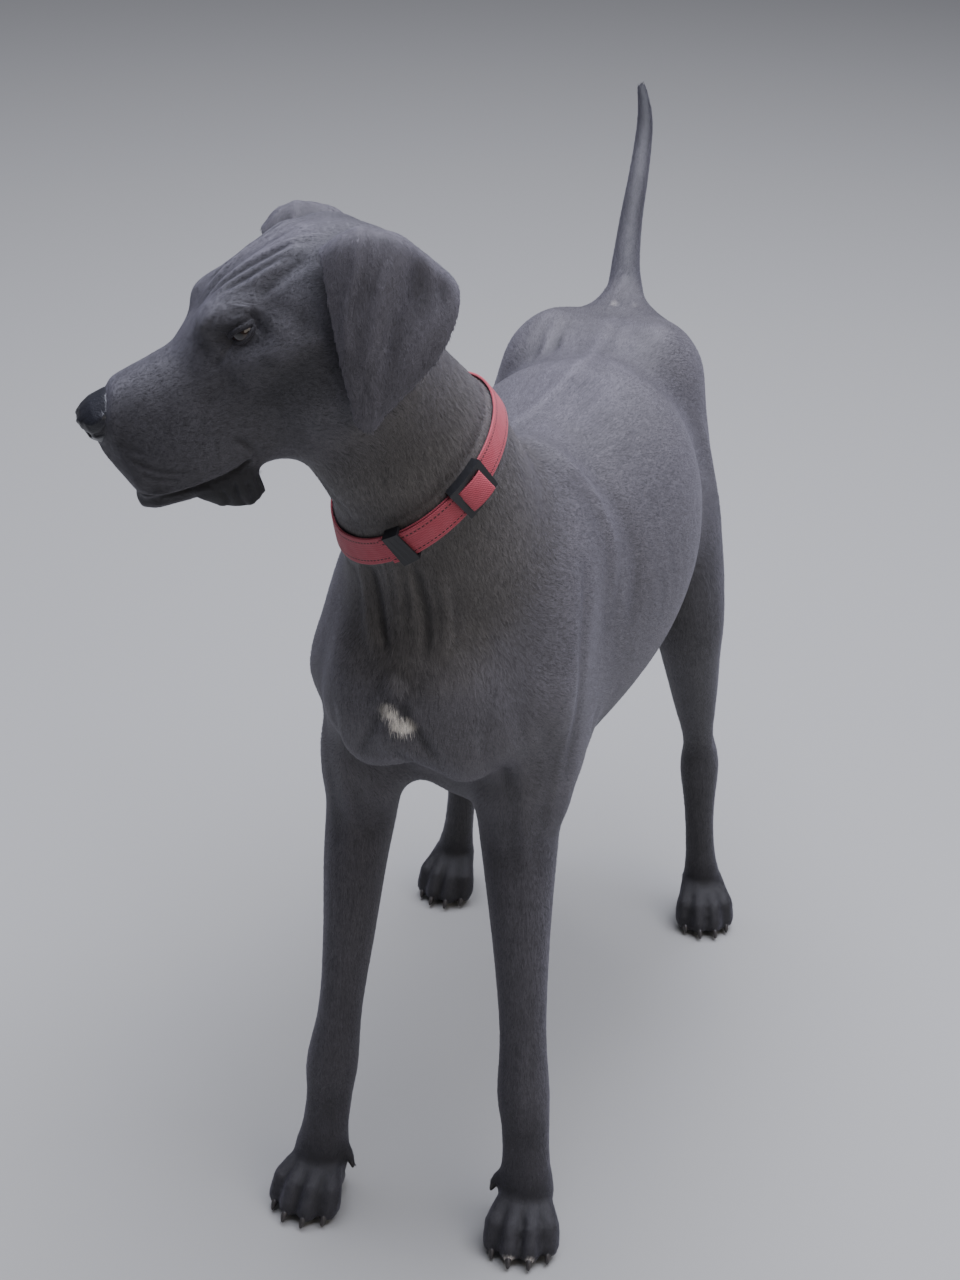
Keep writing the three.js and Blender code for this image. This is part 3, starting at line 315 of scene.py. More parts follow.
@dataclass(frozen=True)
class NoseLeather:
    """The bare, moist skin of the nose: slate black, pebbled in plates of about 1.3 mm."""

    colour: str = "#26272d"
    plate: float = 1.3
    roughness: float = 0.33

    def material(self) -> bpy.types.Material:
        """The nose's material, on Object coordinates."""
        material, tree = new_material("nose_leather")
        place = add_node(tree, "ShaderNodeTexCoord")
        plates = add_node(
            tree,
            "ShaderNodeTexVoronoi",
            {"Scale": 1 / (self.plate * MM), "feature": "SMOOTH_F1", "Smoothness": 0.6},
            {"Vector": place.outputs["Object"]},
        )
        # Painted shade: darker in the grooves between the plates, and painted light on their tops
        tone = add_node(
            tree,
            "ShaderNodeMapRange",
            {"From Max": 0.8, "To Min": 1.15, "To Max": 0.7},
            {"Value": plates.outputs["Distance"]},
        )
        colour = add_node(
            tree,
            "ShaderNodeVectorMath",
            {"operation": "SCALE", 0: srgb(self.colour)[:3]},
            {"Scale": tone.outputs["Result"]},
        )
        bump = add_node(
            tree,
            "ShaderNodeBump",
            {"Strength": 0.55, "Distance": 0.35 * MM, "invert": True},
            {"Height": plates.outputs["Distance"]},
        )
        shader = add_node(
            tree,
            "ShaderNodeBsdfPrincipled",
            {"IOR": 1.45, "Roughness": self.roughness, "Coat Weight": 0.18, "Coat Roughness": 0.25},
            {"Base Color": colour.outputs[0], "Normal": bump.outputs["Normal"]},
        )
        surface(tree, shader)
        return material


@dataclass(frozen=True)
class WetEye:
    """A dark brown eye under a clear wet cornea, read from each point's distance from the line of sight."""

    iris: str = "#26180d"
    iris_rim: str = "#150d07"
    white: str = "#2a2220"
    pupil_radius: float = 3.2
    iris_radius: float = 7.6

    def material(self) -> bpy.types.Material:
        """The eye's material, which reads the attribute gaze, in millimetres."""
        material, tree = new_material("wet_eye")
        gaze = add_node(tree, "ShaderNodeAttribute", {"attribute_name": "gaze"})
        span = EYE_RADIUS
        share = add_node(tree, "ShaderNodeMath", {"operation": "DIVIDE", 1: span}, {0: gaze.outputs["Fac"]})
        ramp = add_node(tree, "ShaderNodeValToRGB", links={"Fac": share.outputs[0]})
        stops = [
            (0.0, "#030303"),
            (self.pupil_radius / span, "#030303"),
            ((self.pupil_radius + 0.5) / span, self.iris),
            ((self.iris_radius - 1.4) / span, self.iris),
            (self.iris_radius / span, self.iris_rim),
            ((self.iris_radius + 0.8) / span, self.white),
        ]
        elements = ramp.color_ramp.elements
        while len(elements) < len(stops):
            elements.new(0.5)
        for element, (position, code) in zip(elements, stops):
            element.position = position
            element.color = srgb(code)
        shader = add_node(
            tree,
            "ShaderNodeBsdfPrincipled",
            {"IOR": 1.38, "Roughness": 0.06, "Coat Weight": 1.0, "Coat Roughness": 0.02},
            {"Base Color": ramp.outputs["Color"]},
        )
        surface(tree, shader)
        return material


@dataclass(frozen=True)
class ClawHorn:
    """Black keratin, worn dull, with fine lengthwise streaks, some of them paler."""

    colour: str = "#1d1c1e"
    pale: str = "#4b4745"

    def material(self) -> bpy.types.Material:
        """The claws' material, on Object coordinates."""
        material, tree = new_material("claw_horn")
        place = add_node(tree, "ShaderNodeTexCoord")
        streaks = add_node(
            tree, "ShaderNodeTexNoise", {"Scale": 900.0, "Detail": 2.0}, {"Vector": place.outputs["Object"]}
        )
        ramp = add_node(
            tree,
            "ShaderNodeMix",
            {"data_type": "RGBA", 6: srgb(self.colour), 7: srgb(self.pale)},
            {0: streaks.outputs["Fac"]},
        )
        bump = add_node(
            tree,
            "ShaderNodeBump",
            {"Strength": 0.3, "Distance": 0.2 * MM},
            {"Height": streaks.outputs["Fac"]},
        )
        shader = add_node(
            tree,
            "ShaderNodeBsdfPrincipled",
            {"IOR": 1.54, "Roughness": 0.38},
            {"Base Color": ramp.outputs[2], "Normal": bump.outputs["Normal"]},
        )
        surface(tree, shader)
        return material


@dataclass(frozen=True)
class NylonWebbing:
    """Red nylon webbing: a flat weave of thick yarns across the strap, a bound edge and rows of stitches.

    It reads the attribute weave: millimetres along the strap, across it, and which layer it is. Yarns are
    1.6 mm apart, as on a strap of this width, with painted shade between them, painted light where they stand
    proud, and faded in patches.
    """

    colour: str = "#b23c4b"
    faded: str = "#c4606c"
    shade: str = "#7a2631"
    thread: str = "#30161b"
    yarn: float = 1.6
    stitch: float = 3.4
    stitch_row: float = 8.6

    def material(self) -> bpy.types.Material:
        """The webbing's material."""
        material, tree = new_material("nylon_webbing")
        weave = add_node(tree, "ShaderNodeAttribute", {"attribute_name": "weave"})
        parts = add_node(tree, "ShaderNodeSeparateXYZ", links={"Vector": weave.outputs["Vector"]})
        along, across = parts.outputs["X"], parts.outputs["Y"]

        def maths(operation: str, *values: object) -> bpy.types.NodeSocket:
            settings = {i: v for i, v in enumerate(values) if isinstance(v, (int, float))}
            links = {i: v for i, v in enumerate(values) if not isinstance(v, (int, float))}
            return add_node(tree, "ShaderNodeMath", {"operation": operation, **settings}, links).outputs[0]

        # Twill: ribs that climb across the strap, cut by the yarns along it
        turn = 2 * math.pi / self.yarn
        ribs = maths("SINE", maths("MULTIPLY", maths("ADD", along, maths("MULTIPLY", across, 0.5)), turn))
        rows = maths("SINE", maths("MULTIPLY", across, turn * 0.8))
        cloth = maths("ADD", maths("MULTIPLY", ribs, 0.6), maths("MULTIPLY", rows, 0.4))
        height = maths("ADD", maths("MULTIPLY", cloth, 0.5), 0.5)
        # Stitches: dashes in a row near each edge
        off_row = maths("ABSOLUTE", maths("SUBTRACT", maths("ABSOLUTE", across), self.stitch_row))
        in_row = maths("LESS_THAN", off_row, 0.55)
        dash = maths("LESS_THAN", maths("FRACT", maths("DIVIDE", along, self.stitch)), 0.62)
        stitched = maths("MULTIPLY", maths("MULTIPLY", in_row, dash), parts.outputs["Z"])
        wear = add_node(
            tree, "ShaderNodeTexNoise", {"Scale": 0.12, "Detail": 4.0}, {"Vector": weave.outputs["Vector"]}
        )
        worn = add_node(
            tree,
            "ShaderNodeMix",
            {"data_type": "RGBA", 6: srgb(self.colour), 7: srgb(self.faded)},
            {0: wear.outputs["Fac"]},
        )
        # Painted shade: darker in the hollows between the yarns, and painted light on the yarns that stand
        # proud
        lit = maths("MINIMUM", maths("ADD", maths("MULTIPLY", height, 0.8), 0.35), 1.0)
        painted_weave_shade = add_node(
            tree,
            "ShaderNodeMix",
            {"data_type": "RGBA", 6: srgb(self.shade)},
            {0: lit, 7: worn.outputs[2]},
        )
        colour = add_node(
            tree,
            "ShaderNodeMix",
            {"data_type": "RGBA", 7: srgb(self.thread)},
            {0: stitched, 6: painted_weave_shade.outputs[2]},
        )
        bump = add_node(
            tree,
            "ShaderNodeBump",
            {"Strength": 0.8, "Distance": 0.3 * MM},
            {"Height": maths("SUBTRACT", height, maths("MULTIPLY", stitched, 0.8))},
        )
        shader = add_node(
            tree,
            "ShaderNodeBsdfPrincipled",
            {"IOR": 1.53, "Roughness": 0.72, "Sheen Weight": 0.15, "Sheen Roughness": 0.4},
            {"Base Color": colour.outputs[2], "Normal": bump.outputs["Normal"]},
        )
        surface(tree, shader)
        return material


@dataclass(frozen=True)
class MouldedPlastic:
    """Black acetal, injection moulded: a fine spark-eroded grain, with scuffs that dull its gloss."""

    colour: str = "#151618"
    scuffed: str = "#2c2d30"

    def material(self) -> bpy.types.Material:
        """The slides' material, on Object coordinates."""
        material, tree = new_material("moulded_acetal")
        place = add_node(tree, "ShaderNodeTexCoord")
        grain = add_node(
            tree,
            "ShaderNodeTexNoise",
            {"Scale": 2200.0, "Detail": 1.0},
            {"Vector": place.outputs["Object"]},
        )
        scuffs = add_node(
            tree,
            "ShaderNodeTexNoise",
            {"Scale": 240.0, "Detail": 5.0, "Roughness": 0.7},
            {"Vector": place.outputs["Object"]},
        )
        colour = add_node(
            tree,
            "ShaderNodeMix",
            {"data_type": "RGBA", 6: srgb(self.colour), 7: srgb(self.scuffed)},
            {0: scuffs.outputs["Fac"]},
        )
        rough = add_node(
            tree, "ShaderNodeMapRange", {"To Min": 0.3, "To Max": 0.6}, {"Value": scuffs.outputs["Fac"]}
        )
        bump = add_node(
            tree,
            "ShaderNodeBump",
            {"Strength": 0.25, "Distance": 0.06 * MM},
            {"Height": grain.outputs["Fac"]},
        )
        shader = add_node(
            tree,
            "ShaderNodeBsdfPrincipled",
            {"IOR": 1.48},
            {
                "Base Color": colour.outputs[2],
                "Roughness": rough.outputs["Result"],
                "Normal": bump.outputs["Normal"],
            },
        )
        surface(tree, shader)
        return material


@dataclass(frozen=True)
class StudioFloor:
    """A matt painted studio floor."""

    colour: str = "#a5a5a2"

    def material(self) -> bpy.types.Material:
        """The floor's material."""
        material, tree = new_material("studio_floor")
        shader = add_node(
            tree, "ShaderNodeBsdfPrincipled", {"Base Color": srgb(self.colour), "Roughness": 0.85}
        )
        surface(tree, shader)
        return material


# Regions of the body


class Region(Enum):
    """A region of the skin: the start of its solids' names, and its number."""

    HEAD = ("head", 0)
    EAR = ("ear", 1)
    JAW = ("lower_jaw", 2)
    NECK = ("neck", 3)
    TORSO = ("torso", 4)
    FORELEG = ("foreleg", 5)
    HINDLEG = ("hindleg", 6)
    FOREPAW = ("forepaw", 7)
    HINDPAW = ("hindpaw", 8)
    TAIL = ("tail", 9)
    NOSE = ("nose", 10)

    @property
    def number(self) -> int:
        """The region's number in the skins' arrays."""
        return self.value[1]

    @staticmethod
    def of(node: str) -> Region:
        """The region that a solid belongs to, which for an eye is the head."""
        return next((region for region in Region if node.startswith(region.value[0])), Region.HEAD)


REGIONS = len(Region)
HEADED = tuple(region.number for region in (Region.HEAD, Region.EAR, Region.JAW, Region.NOSE))


def by_region(table: dict[Region, float], default: float) -> np.ndarray:
    """A table of one number for each region, as an array in the order of their numbers."""
    return np.array([table.get(region, default) for region in Region])


# Skins


@dataclass
class Skin:
    """A skin while it is worked on: its mesh, and arrays that follow it.

    Attributes:
        obj: the skin's object.
        anatomy: the frames that its folds are given in.
        co: its points, in metres.
        region: the number of the region that each point belongs to.
    """

    obj: bpy.types.Object
    anatomy: Anatomy
    co: np.ndarray = field(init=False)
    region: np.ndarray = field(init=False)
    edges: np.ndarray = field(init=False)
    degree: np.ndarray = field(init=False)
    normal: np.ndarray = field(init=False)

    def __post_init__(self) -> None:
        """Reads the mesh."""
        self.read()

    def read(self) -> None:
        """Reads points and edges from the mesh."""
        mesh = self.obj.data
        count = len(mesh.vertices)
        self.co = np.empty(count * 3)
        mesh.vertices.foreach_get("co", self.co)
        self.co = self.co.reshape(-1, 3)
        pairs = np.empty(len(mesh.edges) * 2, int)
        mesh.edges.foreach_get("vertices", pairs)
        self.edges = pairs.reshape(-1, 2)
        self.degree = np.maximum(np.bincount(pairs, minlength=count), 1)
        self.turn_normals()

    def write(self) -> None:
        """Writes the points to the mesh."""
        mesh = self.obj.data
        mesh.vertices.foreach_set("co", self.co.ravel())
        mesh.update()

    def turn_normals(self) -> None:
        """Writes the points and reads the normals that they give."""
        self.write()
        normal = np.empty(len(self.co) * 3)
        self.obj.data.vertex_normals.foreach_get("vector", normal)
        self.normal = normal.reshape(-1, 3)

    def around(self, values: np.ndarray) -> np.ndarray:
        """The mean of each point's neighbours.

        Args:
            values: one value or vector for each point.

        Returns:
            The neighbours' means, of the same shape.
        """
        a, b = self.edges[:, 0], self.edges[:, 1]
        flat = values.reshape(len(values), -1)
        total = np.empty_like(flat, dtype=float)
        for k in range(flat.shape[1]):
            column = flat[:, k]
            total[:, k] = np.bincount(a, column[b], len(flat)) + np.bincount(b, column[a], len(flat))
        return (total / self.degree[:, None]).reshape(values.shape)

    def spread(self, values: np.ndarray, steps: int) -> np.ndarray:
        """Values blurred over the skin in a number of steps."""
        for _ in range(steps):
            values = (values + self.around(values)) / 2
        return values

    def relax(self, steps: np.ndarray) -> None:
        """Smooths the skin, with a number of steps for each point."""
        for i in range(int(math.ceil(steps.max()))):
            share = np.clip(steps - i, 0, 1)[:, None] / 2
            self.co += (self.around(self.co) - self.co) * share
        self.turn_normals()

    def refine(self, chosen: np.ndarray, cuts: int) -> None:
        """Divides the net where all ends of an edge are chosen.

        Args:
            chosen: whether each point is chosen.
            cuts: the cuts in each edge.
        """
        net = bmesh.new()
        net.from_mesh(self.obj.data)
        net.verts.ensure_lookup_table()
        edges = [e for e in net.edges if chosen[e.verts[0].index] and chosen[e.verts[1].index]]
        bmesh.ops.subdivide_edges(net, edges=edges, cuts=cuts, use_grid_fill=True)
        net.to_mesh(self.obj.data)
        net.free()
        self.read()

    def thin(self, plain: np.ndarray, most: int) -> None:
        """Brings the skin under a number of triangles, by thinning only where its form is plain.

        Args:
            plain: whether each point may be thinned away.
            most: the number of triangles.
        """
        triangles = sum(len(p.vertices) - 2 for p in self.obj.data.polygons)
        if triangles <= most:
            return
        group = self.obj.vertex_groups.new(name="plain")
        group.add(np.flatnonzero(plain).tolist(), 1.0, "REPLACE")
        thinner = self.obj.modifiers.new("thinner", "DECIMATE")
        thinner.ratio = most / triangles
        thinner.vertex_group = "plain"
        thinner.vertex_group_factor = 1.0
        settled(self.obj)
        self.obj.vertex_groups.clear()
        self.read()

    def find_regions(self, nodes: dict[str, bpy.types.Object], names: Iterable[str]) -> None:
        """Gives each point the region of the nearest solid.

        Args:
            nodes: the CAD nodes by name.
            names: the solids that the skin covers.
        """
        places, numbers = [], []
        for name in names:
            mesh = nodes[name].data
            here = [v.co for v in mesh.vertices] + [p.center for p in mesh.polygons]
            places += here
            numbers += [Region.of(name).number] * len(here)
        tree = KDTree(len(places))
        for i, place in enumerate(places):
            tree.insert(place, i)
        tree.balance()
        nearest = [tree.find(p)[1] for p in self.co.tolist()]
        self.region = np.array(numbers)[nearest]

    def share_of(self, region: Region) -> np.ndarray:
        """How far each point belongs to a region, 0 or 1."""
        return (self.region == region.number).astype(float)


class View(Enum):
    """A side that a fold is drawn from: a frame, its two drawing axes, and the axis that faces the eye."""

    HEAD_TOP = ("head", 0, 1, 2, 1)
    HEAD_LEFT = ("head", 0, 2, 1, 1)
    HEAD_RIGHT = ("head", 0, 2, 1, -1)
    HEAD_FRONT = ("head", 1, 2, 0, 1)
    HEAD_BELOW = ("head", 0, 1, 2, -1)
    LEFT = ("body", 1, 2, 0, 1)
    RIGHT = ("body", 1, 2, 0, -1)
    FRONT = ("body", 0, 2, 1, -1)
    TOP = ("body", 0, 1, 2, 1)


ALL_DEPTHS = (-5000.0, 5000.0)


def smooth_curve(points: np.ndarray, per_span: int) -> np.ndarray:
    """A smooth curve through points.

    Args:
        points: at least three points.
        per_span: how many points are made from each span.

    Returns:
        The curve's points.
    """
    padded = np.vstack([2 * points[0] - points[1], points, 2 * points[-1] - points[-2]])
    t = np.linspace(0, 1, per_span, endpoint=False)[:, None]
    spans = []
    for a, b, c, d in zip(padded, padded[1:], padded[2:], padded[3:]):
        spans.append(
            (2 * b + (c - a) * t + (2 * a - 5 * b + 4 * c - d) * t**2 + (3 * b - a - 3 * c + d) * t**3) / 2
        )
    return np.vstack(spans + [points[-1:]])


@dataclass(frozen=True)
class Fold:
    """A ridge on the skin, or a groove where its height is negative, drawn as a line from one side.

    Attributes:
        view: the side that it is drawn from.
        path: its points on the view's two axes.
        width: how far it reaches to each side.
        height: how far it stands up at its middle.
        depths: the span of the view's third axis that it acts in.
        fade: the share of its length over which each end fades.
    """

    view: View
    path: tuple[tuple[float, float], ...]
    width: float
    height: float
    depths: tuple[float, float] = ALL_DEPTHS
    fade: float = 0.25

    def mirrored(self) -> Fold:
        """The same fold on the head's or the body's other side."""
        other = {View.HEAD_LEFT: View.HEAD_RIGHT, View.LEFT: View.RIGHT}
        if self.view in other:
            low, high = self.depths
            return replace(self, view=other[self.view], depths=(-high, -low))
        across = 1 if self.view in (View.HEAD_TOP, View.HEAD_BELOW) else 0
        path = tuple(tuple(-c if k == across else c for k, c in enumerate(point)) for point in self.path)
        return replace(self, path=path)

    def line(self) -> np.ndarray:
        """The path as a smooth curve of close points."""
        points = np.array(self.path, float)
        return points if len(points) < 3 else smooth_curve(points, 5)

    def weight(self, local: np.ndarray, normal: np.ndarray) -> np.ndarray:
        """How strongly each point feels the fold.

        Args:
            local: the points in the view's frame.
            normal: their normals in that frame.

        Returns:
            A weight from 0 to 1 for each point.
        """
        _, i, j, k, sign = self.view.value
        flat = local[:, [i, j]]
        line = self.line()
        reach = 2.4 * self.width
        depth = local[:, k]
        near = (flat > line.min(0) - reach).all(1) & (flat < line.max(0) + reach).all(1)
        near &= (depth > self.depths[0]) & (depth < self.depths[1])
        near &= normal[:, k] * sign > 0
        index = np.flatnonzero(near)
        p = flat[index]
        best = np.full(len(index), np.inf)
        where = np.zeros(len(index))
        for n in range(len(line) - 1):
            a, b = line[n], line[n + 1]
            ab = b - a
            t = np.clip((p - a) @ ab / max(ab @ ab, 1e-9), 0, 1)
            d = ((p - a - t[:, None] * ab) ** 2).sum(1)
            closer = d < best
            best[closer] = d[closer]
            where[closer] = (n + t[closer]) / (len(line) - 1)
        ends = ease(np.minimum(where, 1 - where) / self.fade) if self.fade else 1.0
        facing = ease(normal[index, k] * sign / 0.35)
        out = np.zeros(len(local))
        out[index] = np.exp(-best / self.width**2) * ends * facing
        return out


@dataclass(frozen=True)
class Swell:
    """A soft bump, or a hollow where its height is negative.

    Attributes:
        in_head: whether it is given in the head's frame.
        centre: its middle.
        reach: its half sizes along the frame's axes.
        height: how far it stands up.
    """

    in_head: bool
    centre: tuple[float, float, float]
    reach: tuple[float, float, float]
    height: float

    def weight(self, local: np.ndarray) -> np.ndarray:
        """How strongly each point feels it, from 0 to 1."""
        r = (((local - np.array(self.centre)) / np.array(self.reach)) ** 2).sum(1)
        return np.clip(1 - r, 0, 1) ** 2


def sculpt(skin: Skin, forms: Sequence[Fold | Swell]) -> None:
    """Raises folds and bumps on a skin, along its normals.

    Args:
        skin: the skin.
        forms: what is raised on it.
    """
    frames = {"head": skin.anatomy.head, "body": skin.anatomy.body}
    local = {name: frame.inward(skin.co) for name, frame in frames.items()}
    normal = {name: skin.normal @ frame.axes.T for name, frame in frames.items()}
    lift = np.zeros(len(skin.co))
    for form in forms:
        if isinstance(form, Fold):
            name = form.view.value[0]
            lift += form.height * form.weight(local[name], normal[name])
        else:
            name = "head" if form.in_head else "body"
            lift += form.height * form.weight(local[name])
    skin.co += skin.normal * (lift * MM)[:, None]
    skin.turn_normals()


def with_mirrors(folds: Iterable[Fold]) -> list[Fold]:
    """Folds together with their mirror images."""
    made = list(folds)
    return made + [fold.mirrored() for fold in made]


# The coat's colours


@dataclass(frozen=True)
class Marking:
    """A soft-edged area of the coat.

    Attributes:
        colour: its colour.
        in_head: whether it is given in the head's frame.
        centre: its middle.
        reach: its half sizes along the frame's axes.
        strength: how far its colour replaces the one below, at most.
        edge: the share of its reach over which it fades.
        ragged: how far its edge wanders, as a share of its reach.
    """

    colour: str
    in_head: bool
    centre: tuple[float, float, float]
    reach: tuple[float, float, float]
    strength: float = 1.0
    edge: float = 0.5
    ragged: float = 0.12

    def weight(self, local: np.ndarray) -> np.ndarray:
        """How strongly the marking covers each point."""
        r = np.sqrt((((local - np.array(self.centre)) / np.array(self.reach)) ** 2).sum(1))
        if self.ragged:
            r = r + self.ragged * wander(local, 9.0)
        return self.strength * ease((1 - r) / self.edge)


def wander(points: np.ndarray, size: float) -> np.ndarray:
    """A smooth wandering value from about -1 to 1 at each point.

    Args:
        points: places in millimetres.
        size: the distance over which it changes.

    Returns:
        One value for each point.
    """
    generator = np.random.default_rng(7)
    total = np.zeros(len(points))
    for _ in range(7):
        direction = generator.normal(size=3)
        phase = generator.uniform(0, 2 * math.pi)
        total += np.sin(points @ direction / size + phase)
    return total / 3.5


REGION_COLOURS = {
    Region.HEAD: "#48474b",
    Region.EAR: "#4b494e",
    Region.JAW: "#232225",
    Region.NECK: "#504d4a",
    Region.TORSO: "#514f52",
    Region.FORELEG: "#444246",
    Region.HINDLEG: "#3e3d3f",
    Region.FOREPAW: "#353437",
    Region.HINDPAW: "#2f2e30",
    Region.TAIL: "#3d3c3f",
    Region.NOSE: "#232327",
}

MARKINGS = (
    # The face darkens towards the lips, the eyes and the cheek behind them
    Marking("#302f32", True, (262, 0, -40), (86, 80, 60), 0.7, 0.8),
    Marking("#1f1e20", True, (262, 0, -84), (70, 60, 18), 0.8, 0.6),
    Marking("#1d1c1f", True, (156, 52, 26), (30, 22, 20), 0.9, 0.8),
    Marking("#1d1c1f", True, (156, -52, 26), (30, 22, 20), 0.9, 0.8),
    Marking("#2a2a2c", True, (128, 60, -22), (54, 34, 40), 0.65, 0.8),
    Marking("#2a2a2c", True, (128, -60, -22), (54, 34, 40), 0.65, 0.8),
    # Painted light: the top of the skull is paler, where the light from above falls on it
    Marking("#65626a", True, (110, 0, 76), (84, 50, 36), 0.5, 0.9),
    Marking("#101011", True, (212, 34, -106), (34, 16, 22), 0.95, 0.5),
    Marking("#101011", True, (212, -34, -106), (34, 16, 22), 0.95, 0.5),
    # The throat is dark brown and the nape behind it is paler
    Marking("#312e2a", False, (-50, -370, 860), (70, 60, 80), 0.7, 0.9),
    Marking("#635f5a", False, (52, -262, 880), (50, 60, 90), 0.6, 0.9),
    # Painted light on the upper side, painted shade under the body and in the elbows, and darker hair down
    # the tail
    Marking("#625f67", False, (10, 60, 780), (120, 340, 70), 0.55, 0.9),
    Marking("#333132", False, (0, -60, 430), (120, 260, 60), 0.6, 0.9),
    Marking("#393736", False, (96, -262, 560), (40, 50, 120), 0.45, 0.9),
    Marking("#17171a", False, (-70, 740, 880), (90, 190, 110), 0.95, 0.9),
    Marking("#252427", False, (-40, 560, 790), (60, 120, 70), 0.5, 0.9),
    # White on the breast, on two toes, and flecks on flank and croup
    Marking("#d2ccc0", False, (-11, -398, 631), (14, 30, 8), 0.95, 0.4, 0.3),
    Marking("#d2ccc0", False, (4, -398, 622), (14, 30, 10), 0.95, 0.4, 0.3),
    Marking("#c9c2b8", False, (108, -340, 9), (10, 13, 11), 0.95, 0.5, 0.2),
    Marking("#c9c2b8", False, (128, -337, 9), (9, 13, 11), 0.95, 0.5, 0.2),
    Marking("#b9b3ac", False, (133, -129, 681), (9, 6, 5), 0.55, 0.8, 0.5),
    Marking("#b9b3ac", False, (150, -96, 664), (6, 5, 4), 0.45, 0.8, 0.5),
    Marking("#b9b3ac", False, (18, 340, 758), (5, 7, 6), 0.5, 0.8, 0.5),
    Marking("#b9b3ac", False, (-4, 332, 760), (5, 6, 6), 0.45, 0.8, 0.5),
)


@dataclass(frozen=True)
class CoatMap:
    """The coat's colours, lie and moisture, worked out at the points of a skin."""

    lie_table: tuple[tuple[Region, tuple[float, float, float]], ...] = (
        (Region.NECK, (0.1, 0.45, -0.88)),
        (Region.TORSO, (0.0, 0.92, -0.38)),
        (Region.FORELEG, (0.0, 0.12, -1.0)),
        (Region.HINDLEG, (0.0, 0.3, -0.95)),
        (Region.FOREPAW, (0.0, -0.75, -0.65)),
        (Region.HINDPAW, (0.0, -0.75, -0.65)),
        (Region.TAIL, (-0.12, 0.88, 0.45)),
    )
    head_lie: tuple[float, float, float] = (-0.95, 0.0, -0.3)
    ear_lie: tuple[float, float, float] = (0.25, 0.0, -0.97)
    streak_length: float = 7.0  # strands are this many times longer than wide

    def lie(self, skin: Skin) -> np.ndarray:
        """The direction in which the coat lies at each point, along the skin."""
        head = skin.anatomy.head
        table = np.tile(head.turned(unit(np.array(self.head_lie))), (REGIONS, 1))
        table[Region.EAR.number] = head.turned(unit(np.array(self.ear_lie)))
        for region, direction in self.lie_table:
            table[region.number] = unit(np.array(direction))
        flow = table[skin.region]
        place = skin.anatomy.body.inward(skin.co)
        chest = ease((-300 - place[:, 1]) / 70) * skin.share_of(Region.TORSO)
        flow = flow + chest[:, None] * np.array([0.0, -0.5, -1.3])
        flow = skin.spread(flow, 30)
        flow -= skin.normal * (flow * skin.normal).sum(1)[:, None]
        return unit(flow)

    def colours(self, skin: Skin) -> np.ndarray:
        """The coat's linear colour at each point, with painted light and shade worked in."""
        table = np.array([srgb(REGION_COLOURS[region])[:3] for region in Region])
        colour = skin.spread(table[skin.region], 40)
        local = {True: skin.anatomy.head.inward(skin.co), False: skin.anatomy.body.inward(skin.co)}
        body = local[False]
        low = ease((330 - body[:, 2]) / 260)[:, None]
        colour = colour * (1 - 0.3 * low)
        for marking in MARKINGS:
            weight = marking.weight(local[marking.in_head])[:, None]
            colour = colour * (1 - weight) + np.array(srgb(marking.colour)[:3]) * weight
        # Painted shade in the creases and painted light on the ridges
        bend = ((skin.co - skin.around(skin.co)) * skin.normal).sum(1)
        bend = skin.spread(bend, 2) / MM
        colour = colour * (1 + np.clip(bend * 3.0, -0.5, 0.4))[:, None]
        colour = colour * (1 + 0.05 * wander(body, 34.0))[:, None]
        return np.clip(colour, 0, 1)

    def moisture(self, skin: Skin) -> np.ndarray:
        """How moist the skin is, from 0 to 1: the lips' hanging lobes, the mouth and the lids' rims."""
        local = skin.anatomy.head.inward(skin.co)
        wet = np.zeros(len(local))
        for side in (1, -1):
            lobe = Marking("#000000", True, (212, 34.0 * side, -106), (36, 18, 20), 1.0, 0.4, 0.0)
            rim = Marking("#000000", True, (155, 54.0 * side, 24), (13, 8, 8), 0.8, 0.4, 0.0)
            wet = np.maximum(wet, np.maximum(lobe.weight(local), rim.weight(local)))
        mouth = Marking("#000000", True, (240, 0, -84), (58, 60, 7), 0.8, 0.6, 0.0)
        return np.maximum(wet, mouth.weight(local))

    def store(self, skin: Skin) -> dict[str, np.ndarray]:
        """Writes the coat's attributes to the skin's mesh.

        Args:
            skin: the finished skin.

        Returns:
            The arrays of colour, lie and moisture.
        """
        colour, lie, moist = self.colours(skin), self.lie(skin), self.moisture(skin)
        place = skin.anatomy.body.inward(skin.co)
        along = (place * lie).sum(1)[:, None]
        strand = place - along * lie * (1 - 1 / self.streak_length)
        write_attribute(skin.obj.data, "coat", "FLOAT_VECTOR", colour)
        write_attribute(skin.obj.data, "strand", "FLOAT_VECTOR", strand)
        write_attribute(skin.obj.data, "moist", "FLOAT", moist)
        return {"colour": colour, "lie": lie, "moist": moist}


def write_attribute(mesh: bpy.types.Mesh, name: str, kind: str, values: np.ndarray) -> None:
    """Writes one value for each point of a mesh.

    Args:
        mesh: the mesh.
        name: the attribute's name.
        kind: "FLOAT" or "FLOAT_VECTOR".
        values: its values.
    """
    attribute = mesh.attributes.get(name) or mesh.attributes.new(name, kind, "POINT")
    attribute.data.foreach_set("value" if kind == "FLOAT" else "vector", values.astype(np.float32).ravel())


# The unwrap that the skins and the tufts share


